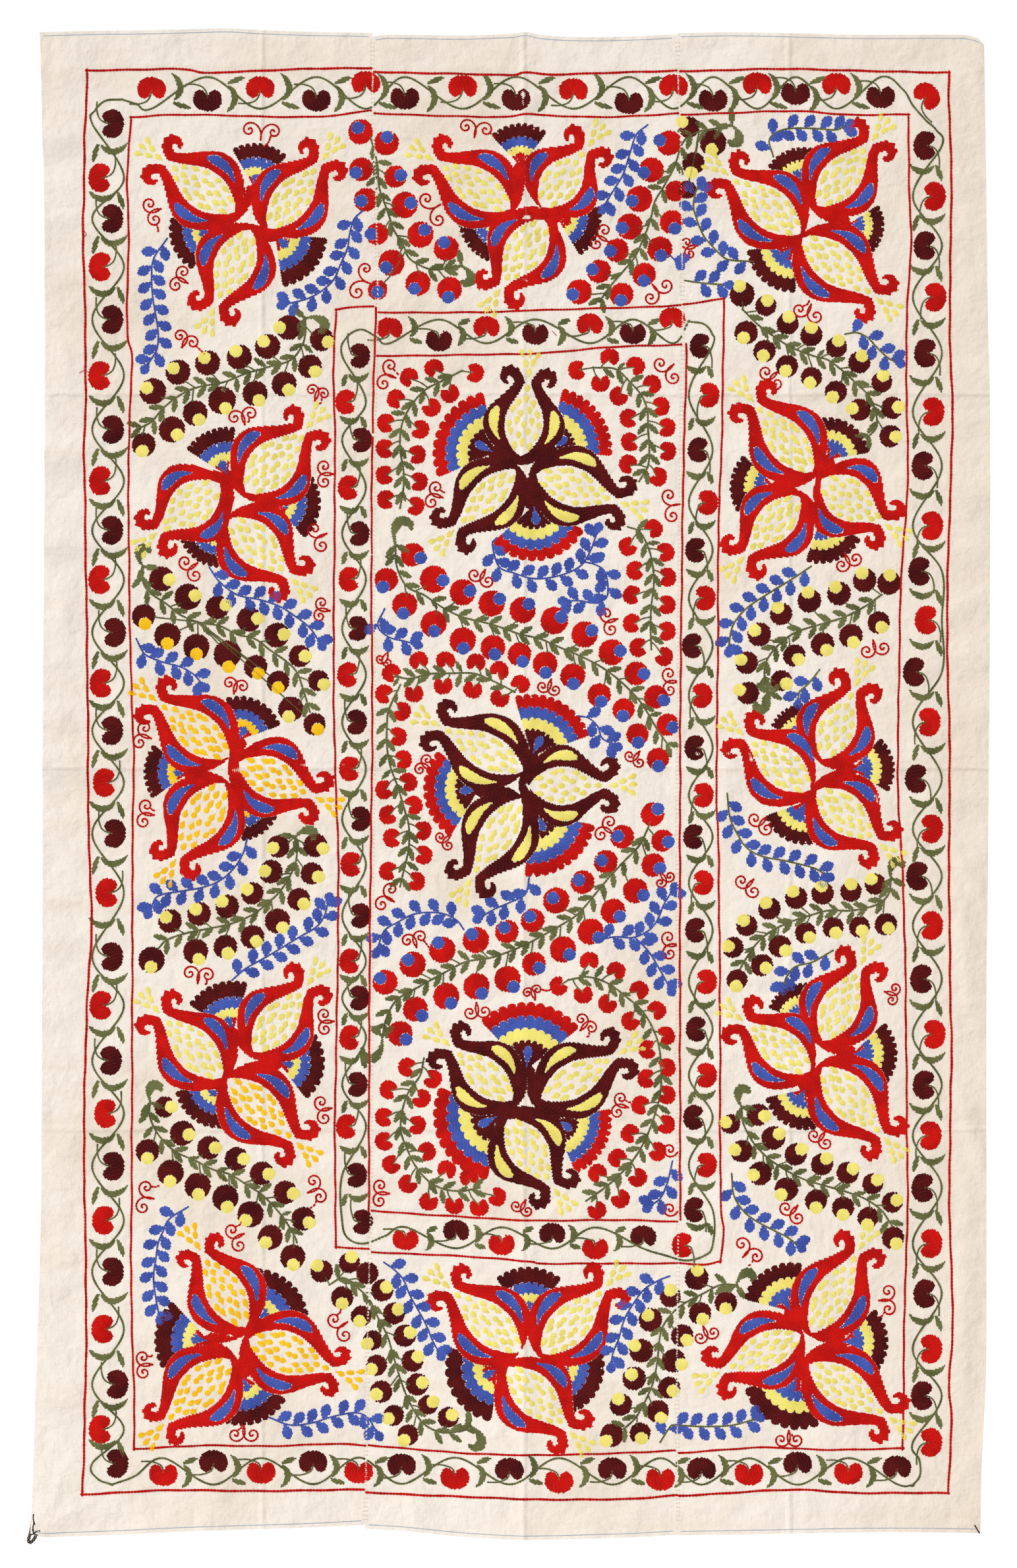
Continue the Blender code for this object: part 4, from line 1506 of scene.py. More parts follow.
@dataclass
class Spray:
    """A stem with round berries, each on its own stalk, and lance leaves between the stalks."""

    berries: tuple[tuple[float, ...], ...]
    stem: tuple[Place, ...]
    hook: Place | None = None
    skin: Thread = Thread.MAROON
    spot: Thread = Thread.YELLOW
    spot_radius: float = 9.6

    def sew(self, work: Embroidery) -> None:
        """Sews the berries, the stem, its stalks and its leaves.

        Args:
            work: The embroidery that takes the rows and lines.
        """
        stem = smooth_path(self.stem)
        work.line(stem, G, 3.3)
        for k, berry in enumerate(self.berries):
            across, down, radius = berry[:3]
            angle = 58 if k % 2 else 40
            hole = [disc(berry[3], berry[4], self.spot_radius)] if len(berry) > 3 else []
            work.fill(Fill([disc(across, down, radius)], self.skin, angle, hole))
            if hole:
                work.fill(Fill(hole, self.spot, angle + 30, pitch=2.4, proud=0.8, ragged=0.4))
            self.stalk(work, stem, across, down, radius)
        self.leaves(work, stem, np.array([berry[:3] for berry in self.berries], float))
        if self.hook:
            self.flourish(work)

    def stalk(self, work: Embroidery, stem: np.ndarray, across: float, down: float, radius: float) -> None:
        """Sews a stalk from the stem to one berry."""
        place = np.array((across, down), float)
        away = np.hypot(*(stem - place).T)
        near = int(np.argmin(away))
        if away[near] < radius + 4:
            return
        root = stem[max(near - 5, 0)]
        middle = (stem[near] + place) / 2 + (root - stem[near]) * 0.25
        end = place + (middle - place) / max(float(np.hypot(*(middle - place))), 1.0) * (radius - 1)
        work.line(smooth_path((tuple(root), tuple(middle), tuple(end))), G, 2.6)

    def leaves(self, work: Embroidery, stem: np.ndarray, berries: np.ndarray) -> None:
        """Sews pairs of lance leaves along the stem, each turned or shortened to keep off the berries.

        Args:
            work: The embroidery that takes the rows.
            stem: Points along the stem.
            berries: Each berry's place and radius.
        """
        run = run_along(stem)
        for reach in np.arange(12, run[-1] - 4, 24):
            at = min(max(int(np.searchsorted(run, reach)), 1), len(stem) - 2)
            ahead = stem[at + 1] - stem[at - 1]
            along = bearing(ahead)
            for side in (-1, 1):
                tries = ((length, lean) for length in (24, 20, 16) for lean in (42, 30, 54, 20, 66))
                for length, lean in tries:
                    angle = along + side * lean
                    way = toward(angle)
                    spots = stem[at] + np.outer((0.5, 0.8, 1.0), way) * (length + 1)
                    apart = spots[:, None, :] - berries[None, :, :2]
                    away = np.hypot(*apart.transpose(2, 0, 1)) - berries[:, 2]
                    if away.min() > 1.5:
                        centre = stem[at] + way * (length / 2 + 0.5)
                        form = drop(centre[0], centre[1], length, length * 0.34, angle, 0.5)
                        work.fill(Fill([form], G, angle + 14, pitch=2.4, ragged=0.4))
                        break

    def flourish(self, work: Embroidery) -> None:
        """Sews the hooked leaf that tops the stem."""
        tip = np.array(self.hook, float)
        start = np.array(min((self.stem[0], self.stem[-1]), key=lambda end: math.dist(end, self.hook)), float)
        ahead = bearing(tip - start)
        size = min(1.5, max(0.9, float(np.hypot(*(tip - start))) / 26))
        spine = [(0, 0), (12, 1), (22, 6), (26, 15), (20, 23), (12, 22)]
        form = ribbon([(x * size, y * size) for x, y in spine], (1.5, 3, 6.5, 8, 6, 1.5))
        work.fill(Fill([turned(form, ahead) + start], G, ahead + 50))
        for side in (-1, 1):
            leaf = drop(start[0], start[1], 26, 9, ahead + 180 + side * 50, 0.5)
            shift = turned(np.array(((13.0, 0.0),)), ahead + 180 + side * 50)
            work.fill(Fill([leaf + shift], G, ahead + side * 50, pitch=2.4, ragged=0.4))


@dataclass
class CherryVine:
    """A stem with small red hearts that face it, and lance leaves."""

    cherries: tuple[Place, ...]
    stems: tuple[tuple[Place, ...], ...]

    def sew(self, work: Embroidery) -> None:
        """Sews the hearts, the stems, their stalks and leaves.

        Args:
            work: The embroidery that takes the rows and lines.
        """
        lines = [smooth_path(stem) for stem in self.stems]
        every = np.vstack(lines)
        for k, place in enumerate(self.cherries):
            away = every - place
            near = int(np.argmin(np.hypot(*away.T)))
            facing = bearing(away[near])
            work.fill(Fill([heart(place[0], place[1], 29, 26, facing)], R, facing + (60 if k % 2 else 120)))
            root = every[max(near - 4, 0)]
            notch = np.array(place) + 4 * toward(facing)
            middle = (root + notch) / 2 + (root - every[near]) * 0.2
            work.line(smooth_path((tuple(root), tuple(middle), tuple(notch))), G, 2.6)
        berries = np.array([(*place, 14.0) for place in self.cherries])
        for line in lines:
            work.line(line, G, 3.3)
            Spray((), ()).leaves(work, line, berries)


@dataclass
class LeafSpray:
    """A thin stem with small leaves set in pairs along it."""

    stem: tuple[Place, ...]
    leaf: Thread = Thread.BLUE
    stalk: Thread = Thread.BLUE
    every: float = 24.0
    long: float = 26.0
    wide: float = 15.0
    reach: float = 12.5

    def sew(self, work: Embroidery) -> None:
        """Sews the stem and its leaves.

        Args:
            work: The embroidery that takes the rows and lines.
        """
        stem = smooth_path(self.stem)
        work.line(stem, self.stalk, 3.0)
        run = run_along(stem)
        for k, stop in enumerate(np.arange(self.every * 0.45, run[-1] + 1, self.every / 2)):
            at = min(max(int(np.searchsorted(run, stop)), 1), len(stem) - 2)
            ahead = stem[at + 1] - stem[at - 1]
            angle = bearing(ahead) + (54 if k % 2 else -54)
            form = drop(*(stem[at] + self.reach * toward(angle)), self.long, self.wide, angle, 0.58)
            work.fill(Fill([form], self.leaf, angle, pitch=2.5, ragged=0.4))
        ahead = stem[-1] - stem[-3]
        angle = bearing(ahead)
        tip = stem[-1] + ahead / max(float(np.hypot(*ahead)), 1e-6) * 8
        work.fill(Fill([drop(tip[0], tip[1], 22, 14, angle)], self.leaf, angle, pitch=2.5, ragged=0.4))


SPRAYS = (
    Spray(rows_of("""
    438 497 19 424 497, 406 526 19 400 518, 363 542 19 358 533, 315 551 19 310 543, 488 515 18 498 519,
    470 556 18 478 564, 270 565 19 263 559, 232 594 20 223 589, 218 675 18 216 685, 261 652 20 269 660,
    296 627 19 302 637, 337 608 21 342 620, 387 597 19 393 608, 431 583 19 438 592"""), rows_of("""
    463 483, 463 507, 457 527, 440 547, 407 557, 373 567, 340 580, 300 588, 273 600, 247 620, 230 640,
    207 652"""), (490, 478)),
    Spray(rows_of("""
    245 879 19 257 880, 285 906 20 296 904, 330 922 18 343 918, 378 940 19 391 939, 420 964 19 431 963,
    455 996 17 463 996, 483 1033 16 491 1039, 441 1076 19 438 1088"""), rows_of("""
    217 860, 217 883, 228 900, 253 917, 273 933, 303 945, 333 950, 360 963, 387 970, 410 987, 433 1003,
    450 1020, 460 1047, 470 1080"""), (215, 857)),
    Spray(rows_of("""
    218 935 18 220 947, 254 965 20 254 977, 298 982 20 298 993, 345 993 21 347 1012, 388 1012 18 392 1022,
    422 1035 17 422 1044, 477 1099 17 482 1107"""), ((300, 944), (306, 946)), spot=A),
    Spray(rows_of("""
    422 1285 17 414 1287, 478 1283 18 490 1288, 411 1323 18 402 1322, 473 1326 17 483 1331,
    383 1356 17 375 1350, 453 1365 17 461 1372, 345 1376 18 337 1368, 421 1398 19 429 1408,
    302 1387 18 297 1380, 383 1422 18 389 1429, 258 1398 18 252 1392, 342 1437 18 346 1447,
    297 1444 19 302 1456, 230 1457 20 229 1468"""), rows_of("""
    448 1270, 450 1300, 443 1323, 427 1350, 407 1370, 380 1390, 347 1403, 313 1410, 280 1417, 253 1427,
    240 1440"""), (463, 1255)),
    Spray(rows_of("""
    250 1680 16 260 1680, 277 1720 19 287 1722, 317 1742 18 327 1742, 359 1759 18 370 1759,
    397 1781 18 408 1782, 433 1810 18 445 1812, 460 1850 18 469 1856, 224 1747 18 224 1758,
    259 1780 20 258 1793, 300 1800 20 301 1813, 342 1818 20 345 1832, 380 1843 20 373 1852,
    410 1878 19 403 1886, 444 1908 19 445 1920"""), rows_of("""
    228 1673, 227 1693, 237 1717, 253 1737, 270 1750, 297 1762, 323 1775, 350 1783, 377 1800, 397 1813,
    417 1833, 433 1853, 447 1877, 450 1885"""), (222, 1653)),
    Spray(rows_of("""
    488 1930 17 481 1921, 530 1917 16 533 1908, 519 1970 17 519 1979, 548 1998 16 546 2006, 557 1933 17,
    580 1959 17 586 1954, 598 1994 17 604 1988, 614 2028 17 622 2023, 626 2066 17 634 2060,
    633 2102 17 641 2099, 649 2133 15 657 2128, 680 2152 16 686 2148, 565 2035 15 557 2040,
    571 2073 16 563 2079, 578 2113 17 571 2117, 597 2149 16 589 2154, 619 2179 16 613 2187"""), rows_of("""
    500 1950, 520 1940, 540 1953, 560 1973, 573 2000, 587 2027, 595 2053, 605 2087, 617 2120, 633 2150,
    650 2167, 673 2175, 700 2172, 713 2165"""), (737, 2180)),
    Spray(rows_of("""
    987 2003 18 983 1996, 973 2050 18 963 2042, 962 2092 18 958 2086, 942 2132 17 938 2123,
    928 2178 18 920 2187, 971 2175 16 973 2183, 998 2142 17 1003 2152, 1015 2106 17 1021 2111,
    1022 2065 18 1034 2071, 1035 2027 17 1042 2034, 1017 1968 16 1017 1958, 1057 1940 18 1058 1928,
    1101 1977 17 1101 1986, 1062 1993 17 1066 2002"""), rows_of("""
    1117 1950, 1093 1950, 1067 1963, 1040 1977, 1020 1993, 1003 2020, 997 2067, 990 2100, 977 2130,
    963 2153, 947 2168"""), (1123, 1932)),
    Spray(rows_of("""
    1045 193 16 1035 185, 1082 217 20 1080 227,
    1052 248 17 1049 262, 1042 288 14"""), ((1060, 200), (1066, 202))),
    Spray(rows_of("""
    1126 447 19 1122 434, 1162 464 16 1164 456, 1195 491 17 1197 481, 1231 509 17 1231 497,
    1269 527 16 1272 517, 1304 550 17 1308 540, 1132 505 18 1128 513, 1160 533 17 1158 540,
    1194 556 17 1192 563, 1231 573 16 1229 581, 1268 595 17 1263 603, 1304 622 17 1293 620,
    1338 580 16 1340 570, 1354 619 17 1363 618, 1351 662 17 1359 663"""), rows_of("""
    1127 470, 1150 493, 1173 510, 1200 527, 1233 540, 1257 547, 1283 567, 1300 583, 1317 600, 1327 620,
    1330 647, 1315 665""")),
    Spray(rows_of("""
    1152 963 18 1145 957, 1185 932 17 1180 922, 1228 912 18 1226 899, 1273 901 18 1268 891,
    1312 881 18 1308 870, 1349 885 18 1350 873, 1333 945 17 1338 952, 1291 965 18 1295 975,
    1248 978 18 1254 987, 1205 995 17 1211 1001, 1133 1006 17 1124 1001, 1185 1033 16 1193 1038,
    1135 1052 17 1122 1047"""), rows_of("""
    1337 903, 1313 920, 1280 937, 1247 947, 1207 960, 1180 980, 1163 1003,
    1160 1027, 1167 1053"""), (1167, 1075)),
    Spray(rows_of("""
    1328 1342 16 1322 1334, 1291 1353 16 1291 1342, 1248 1356 17 1246 1345, 1208 1363 17 1203 1353,
    1167 1379 17 1162 1370, 1133 1405 16 1128 1397, 1112 1438 16 1105 1436, 1344 1403 17 1348 1409,
    1304 1407 16 1308 1413, 1264 1408 16 1268 1416, 1222 1416 16 1228 1423, 1183 1436 17 1192 1443,
    1156 1465 17 1162 1469, 1118 1487 16 1117 1497"""), rows_of("""
    1352 1333, 1348 1357, 1330 1373, 1293 1382, 1257 1382, 1227 1390, 1197 1400, 1167 1415, 1147 1433,
    1133 1453, 1123 1470"""), (1350, 1323)),
    Spray(rows_of("""
    1150 1692 17 1160 1694, 1108 1706 15 1101 1703, 1173 1727 18 1182 1721, 1125 1747 17 1115 1745,
    1207 1752 17 1216 1744, 1153 1781 18 1143 1783, 1247 1767 17 1254 1758, 1193 1805 18 1185 1813,
    1286 1780 17 1294 1774, 1238 1822 17 1238 1833, 1324 1797 16 1331 1791, 1279 1833 17 1279 1844,
    1354 1825 16 1361 1822, 1317 1848 16 1316 1859, 1355 1879 17 1360 1888"""), rows_of("""
    1125 1680, 1127 1703, 1140 1730, 1160 1753, 1187 1773, 1220 1790, 1253 1800, 1287 1810, 1313 1820,
    1337 1837, 1353 1860"""), (1115, 1663)),
    Spray(rows_of("""
    547 200 19 543 194, 548 257 18 540 262, 555 303 18 548 305, 586 217 19 587 208, 600 268 17 608 266,
    614 311 20 623 308, 638 356 20 644 349, 677 377 19 674 368, 594 399 20 586 406, 634 430 19 629 438,
    682 439 19 680 451, 572 355 17 563 355, 573 440 15 573 443"""), rows_of("""
    562 208, 572 247, 575 283, 583 307, 592 333, 598 350, 612 373, 622 393, 650 408,
    673 408, 700 403"""), (712, 410), skin=R, spot=B),
    Spray(rows_of("""
    1015 217 19 1001 213, 988 258 19 977 262, 970 302 20 959 305, 955 344 20 944 346, 936 380 18 926 381,
    909 412 18 899 409, 879 443 19 869 447, 1025 290 16, 1019 337 18 1024 347, 1001 378 19 1003 388,
    977 417 18 977 426, 943 447 18 942 456"""), rows_of("""
    1110 190, 1087 195, 1060 200, 1037 215, 1023 253, 1007 283, 993 307, 987 333, 977 360, 963 390,
    947 410, 927 433, 910 457"""), (1127, 205), skin=R, spot=B),
    Spray(rows_of("""
    626 842 18 638 847, 658 879 21 672 881, 702 899 20 713 897, 746 916 20 758 909, 793 926 20 802 917,
    841 942 21 851 937, 887 963 20 898 957, 928 990 20 941 988, 965 1022 18 977 1023,
    995 1058 18 1007 1063, 1013 1100 17 1021 1104, 998 1152 17 999 1163, 967 1115 17 968 1127,
    946 1077 17 945 1087, 909 1055 18 912 1065, 869 1026 19 870 1038, 827 1008 19 828 1021,
    788 993 18 793 1004, 748 983 19 751 993, 702 972 20 703 984, 658 947 20 659 958, 614 918 19 612 931,
    586 880 18 581 891"""), rows_of("""
    600 827, 602 860, 617 890, 643 903, 673 923, 703 937, 747 948, 787 962, 820 970, 850 983, 883 997,
    913 1013, 940 1033, 967 1060, 983 1083, 997 1107, 1013 1130"""), (592, 795), skin=R, spot=B),
    Spray(rows_of("""
    990 1236 18 998 1228, 944 1270 18 937 1269, 1005 1276 17 1014 1278, 919 1308 18 913 1306,
    991 1313 18 1001 1318, 884 1339 18 878 1336, 964 1352 19 976 1359, 844 1367 20 839 1363,
    930 1383 19 940 1391, 808 1397 18 804 1391, 896 1414 20 908 1423, 769 1414 18 765 1408,
    854 1441 20 864 1449, 722 1427 20 716 1418, 810 1463 18 818 1469, 671 1442 20 665 1431,
    770 1486 20 779 1498, 626 1464 20 619 1457, 723 1497 20 731 1508, 584 1491 19 577 1485,
    677 1512 20 684 1523, 630 1532 19 640 1542, 607 1569 19 616 1578"""), rows_of("""
    983 1257, 970 1283, 947 1307, 923 1333, 903 1357, 877 1387, 853 1403, 823 1420, 790 1437, 747 1453,
    707 1460, 673 1477, 637 1497, 603 1517, 587 1543, 580 1573"""), (580, 1607), skin=R, spot=B),
)

CHERRY_VINES = (
    CherryVine(rows_of("""
    620 572, 658 558, 683 598, 721 566, 600 605, 655 619, 585 642, 638 652, 583 681, 633 690, 583 721,
    636 731, 585 758, 631 768"""), (rows_of("""
    700 563, 667 580, 647 590, 630 607, 615 630, 608 653, 607 683, 612 713, 612 740, 607 770"""),)),
    CherryVine(rows_of("""
    925 542, 875 562, 911 582, 938 602, 965 555, 990 583, 953 635, 1003 617, 955 671, 1012 649, 952 704,
    1013 685, 999 724"""), (rows_of("""
    900 558, 933 560, 953 577, 973 600, 982 623, 983 650, 985 680, 983 707, 970 730"""),)),
    CherryVine(rows_of("""
    992 802, 952 830, 1010 838, 963 866, 1013 876, 958 903, 1012 918, 958 946, 1012 958,
    968 983, 1008 997"""), (rows_of("""
    953 800, 970 807, 983 830, 990 857, 992 887, 988 920, 987 953, 988 985"""),)),
    CherryVine(rows_of("""
    635 1002, 676 1002, 722 1005, 758 1017, 790 1038, 593 1021, 672 1041, 717 1047, 582 1053, 628 1053,
    758 1060, 610 1080, 604 1118, 612 1153, 620 1187, 582 1199, 628 1222, 588 1237, 594 1272, 642 1261,
    643 1298, 588 1322, 632 1338"""), (
        rows_of("780 1050, 767 1043, 740 1030, 717 1022, 683 1022, 650 1023, 623 1030, 600 1027"),
        rows_of("""
    607 1040, 590 1077, 587 1100, 587 1133, 592 1163, 603 1193, 613 1227, 620 1253, 620 1287, 612 1323,
    607 1345"""),
    )),
    CherryVine(rows_of("""
    894 1458, 847 1497, 935 1473, 885 1510, 970 1502, 921 1524, 997 1533, 956 1550, 1011 1572, 982 1593,
    1012 1620, 980 1637, 1012 1662, 971 1677, 1011 1707, 955 1720, 998 1748, 936 1757, 906 1780, 968 1788,
    942 1820, 906 1837"""), (rows_of("""
    863 1487, 893 1483, 923 1493, 950 1513, 973 1533, 990 1560, 1000 1590, 1003 1627, 1002 1657, 993 1693,
    980 1727, 963 1757, 940 1783, 917 1803, 890 1822"""),)),
    CherryVine(rows_of("""
    617 1620, 657 1638, 589 1654, 640 1668, 582 1696, 633 1708, 582 1733, 648 1748, 593 1768, 678 1775,
    618 1798, 712 1787, 650 1825, 689 1830, 755 1817, 727 1833"""), (rows_of("""
    643 1607, 637 1633, 620 1657, 610 1687, 608 1717, 617 1743, 630 1770, 650 1793, 673 1805, 700 1808,
    727 1803"""),)),
)

LEAF_SPRAYS = tuple(LeafSpray(stem, stalk=stalk) for stalk, stems in (
    (B, (
        rows_of("253 363, 233 393, 230 423, 232 453, 237 483, 240 507, 238 530, 225 552"),
        rows_of("550 320, 537 333, 530 357, 527 377, 517 400, 507 423, 490 440, 467 453, 437 461"),
        rows_of("318 862, 333 883, 360 903, 393 910, 423 920, 450 937, 470 953, 483 972"),
        rows_of("207 970, 220 993, 247 1005, 273 1012, 293 1023, 305 1036"),
        rows_of("375 1273, 368 1297, 353 1320, 333 1337, 307 1347, 273 1353, 240 1360, 229 1378"),
        rows_of("353 1487, 373 1470, 403 1453, 430 1437, 453 1423, 480 1407, 492 1390, 497 1372"),
        rows_of("285 1832, 257 1850, 247 1870, 240 1887, 237 1907, 233 1940, 237 1973, 241 1994"),
        rows_of("410 2152, 440 2163, 473 2160, 507 2150, 540 2145, 558 2153, 570 2172"),
        rows_of("583 1917, 597 1927, 612 1943, 622 1967, 635 1990, 647 2013, 657 2037, 664 2050"),
        rows_of("1015 1937, 1000 1943, 977 1957, 960 1980, 947 2003, 938 2033, 930 2053, 928 2066"),
        rows_of("753 817, 747 827, 757 860, 780 870, 807 878, 833 877, 860 870, 883 857, 897 833, 905 810"),
        rows_of("887 853, 903 857, 917 867, 922 887, 920 907, 903 915, 880 912, 864 912"),
        rows_of("583 925, 573 950, 590 967, 613 973, 624 976"),
        rows_of("878 1087, 893 1090, 907 1103, 913 1120, 928 1129"),
        rows_of("803 1330, 797 1357, 773 1370, 750 1380, 733 1390"),
        rows_of("703 1410, 693 1397, 673 1387, 650 1385, 627 1388, 603 1400, 583 1413, 573 1438"),
        rows_of("907 1427, 933 1422, 960 1423, 983 1413, 997 1397, 1007 1373, 1018 1355"),
        rows_of("963 1423, 983 1443, 1000 1470, 1014 1496"),
        rows_of("1020 1763, 1013 1793, 1003 1817, 990 1828"),
        rows_of("982 190, 965 205, 955 235, 945 265, 930 290, 918 310"),
        ((1017, 388), (1025, 396)),
    )),
    (G, (
        rows_of("1002 2188, 1017 2165, 1027 2163, 1067 2165, 1110 2163, 1144 2154"),
        rows_of("1040 426, 1067 430, 1097 432"),
        rows_of("1143 397, 1110 395, 1097 390, 1080 373, 1067 357, 1057 333, 1052 313, 1055 293, 1059 284"),
        rows_of("1173 237, 1167 213, 1180 200, 1200 195, 1233 195, 1267 197, 1281 192"),
        rows_of("1283 507, 1300 505, 1317 513, 1330 527, 1347 543, 1357 548"),
        rows_of("1230 860, 1200 880, 1167 900, 1133 923, 1113 947, 1107 970, 1106 980"),
        rows_of("1243 1017, 1227 1037, 1213 1050, 1211 1060"),
        rows_of("1103 1205, 1107 1240, 1117 1263, 1133 1287, 1157 1300, 1193 1307, 1233 1317, 1250 1326"),
        rows_of("1263 1443, 1233 1460, 1207 1467, 1193 1483, 1190 1494"),
        rows_of("1110 1782, 1113 1813, 1127 1837, 1147 1853, 1173 1867, 1193 1877, 1208 1888"),
    )),
) for stem in stems)


@dataclass
class Curl:
    """One or two red spirals on a short stem, with a tail."""

    spirals: tuple[tuple[float, ...], ...]
    tail: Place | None = None
    width: float = 3.2
    widest: float = 11.6
    tightest: float = 7.6
    turns: float = 1.4

    def sew(self, work: Embroidery) -> None:
        """Sews the spirals, the line that joins them and the tail.

        Args:
            work: The embroidery that takes the lines.
        """
        places = [np.array(s[:2], float) for s in self.spirals]
        middle = np.mean(places, axis=0)
        between = places[-1] - places[0] if len(places) > 1 else np.array((0.0, 18.0))
        across = np.array((between[1], -between[0])) / max(float(np.hypot(*between)), 1.0)
        side = 1.0
        if self.tail:
            side = 1.0 if float(np.dot(np.array(self.tail) - middle, across)) > -3 else -1.0
        joint = middle + across * side * 13
        for number, (place, spiral) in enumerate(zip(places, self.spirals)):
            room = math.dist(places[0], places[-1]) / 2 if len(places) > 1 else self.widest
            radius = spiral[2] if len(spiral) > 2 else min(self.widest, max(self.tightest, room))
            inward = joint - place
            sense = side if number == 0 else -side
            turn = np.linspace(0, 1, 44)
            far = float(np.hypot(*inward))
            reach = 1.6 + (radius - 1.6) * (1 - turn) ** 0.8 + (far - radius) * np.exp(-turn * 9)
            angle = math.atan2(inward[1], inward[0]) + sense * turn * 2 * math.pi * self.turns
            path = np.stack((place[0] + reach * np.cos(angle), place[1] + reach * np.sin(angle)), 1)
            work.line(path, R, self.width)
        if self.tail:
            near = min(places, key=lambda place: math.dist(place, self.tail))
            root = near + (self.tail - near) * 9.0 / max(math.dist(self.tail, near), 1.0)
            if math.dist(self.tail, near) > 12:
                bend = tuple((root + self.tail) / 2 + 1.0)
                work.line(smooth_path((tuple(root), bend, self.tail), 2.0), R, self.width)


CURLS = tuple(Curl(*row) for row in (
    (((378, 197), (415, 200)), (402, 222)), (((227, 310), (235, 333)), (240, 350)),
    (((278, 413), (267, 433)),), (((273, 510), (292, 520)), (310, 537)), (((555, 408, 10), (542, 443, 13)),),
    (((473, 592), (491, 598)), (486, 612)), (((356, 634), (380, 628)), (377, 640)), (((492, 708), (492, 731)),),
    (((477, 803), (488, 828)),), (((281, 853), (296, 873)),), (((488, 915), (485, 935)),),
    (((348, 1037), (368, 1042)), (362, 1052)), (((220, 1105), (212, 1127)),),
    (((222, 1223), (218, 1247)), (233, 1230)), (((288, 1477), (315, 1480)), (313, 1493)),
    (((492, 1540), (493, 1562)),), (((487, 1673), (492, 1697)),), (((222, 1802), (217, 1832)), (240, 1800)),
    (((475, 1793), (485, 1817)), (472, 1833)), (((352, 1867), (363, 1890)), (366, 1855)),
    (((217, 2060), (218, 2083)), (230, 2058)), (((507, 2003), (523, 2027)), (517, 1988)),
    (((357, 2177), (383, 2177)), (367, 2163)), (((707, 192), (737, 197)), (750, 207)),
    (((647, 302), (665, 333)),), (((917, 350), (905, 370)),), (((987, 452), (1010, 433)),),
    (((592, 555), (582, 582)), (603, 567)), (((1002, 552), (1022, 573)),), (((662, 740), (655, 762)), (673, 747)),
    (((1015, 752), (1020, 783)),), (((720, 872), (740, 882)),), (((920, 932), (927, 955)),),
    (((577, 1000), (588, 1005)),), (((1015, 1023), (1016, 1047)),), (((823, 1042), (842, 1047)),),
    (((648, 1153), (637, 1168)),), (((955, 1147), (970, 1157)),), (((925, 1248), (912, 1267)),),
    (((668, 1270), (680, 1283)),), (((593, 1350), (579, 1373)),), (((618, 1428), (638, 1422)), (650, 1437)),
    (((1002, 1340), (1016, 1330)),), (((1014, 1423), (1016, 1447)),), (((815, 1502), (800, 1507)), (833, 1503)),
    (((713, 1537), (735, 1535)),), (((882, 1547), (897, 1560)), (892, 1573)),
    (((942, 1667), (937, 1688)), (955, 1673)), (((577, 1800), (576, 1823)),), (((783, 1830), (800, 1838)),),
    (((1016, 1745),),), (((1016, 1835),),), (((1213, 470), (1238, 480)), (1227, 458)),
    (((1042, 368), (1047, 385)),), (((1162, 565), (1178, 582)),), (((1277, 858), (1298, 848)),),
    (((1315, 988), (1340, 983)),), (((1145, 1243), (1163, 1258)), (1170, 1248)), (((1125, 1337), (1143, 1353)),),
    (((1358, 1500), (1353, 1518)), (1343, 1523)), (((1235, 1723), (1253, 1735)), (1233, 1713)),
    (((1192, 1833), (1210, 1848)),), (((1125, 1888), (1147, 1907)), (1137, 1920)), (((1062, 2030), (1082, 2022)),),
    (((1347, 1960), (1348, 1987)), (1333, 2000)), (((1185, 2185), (1208, 2185)), (1197, 2173)),
))


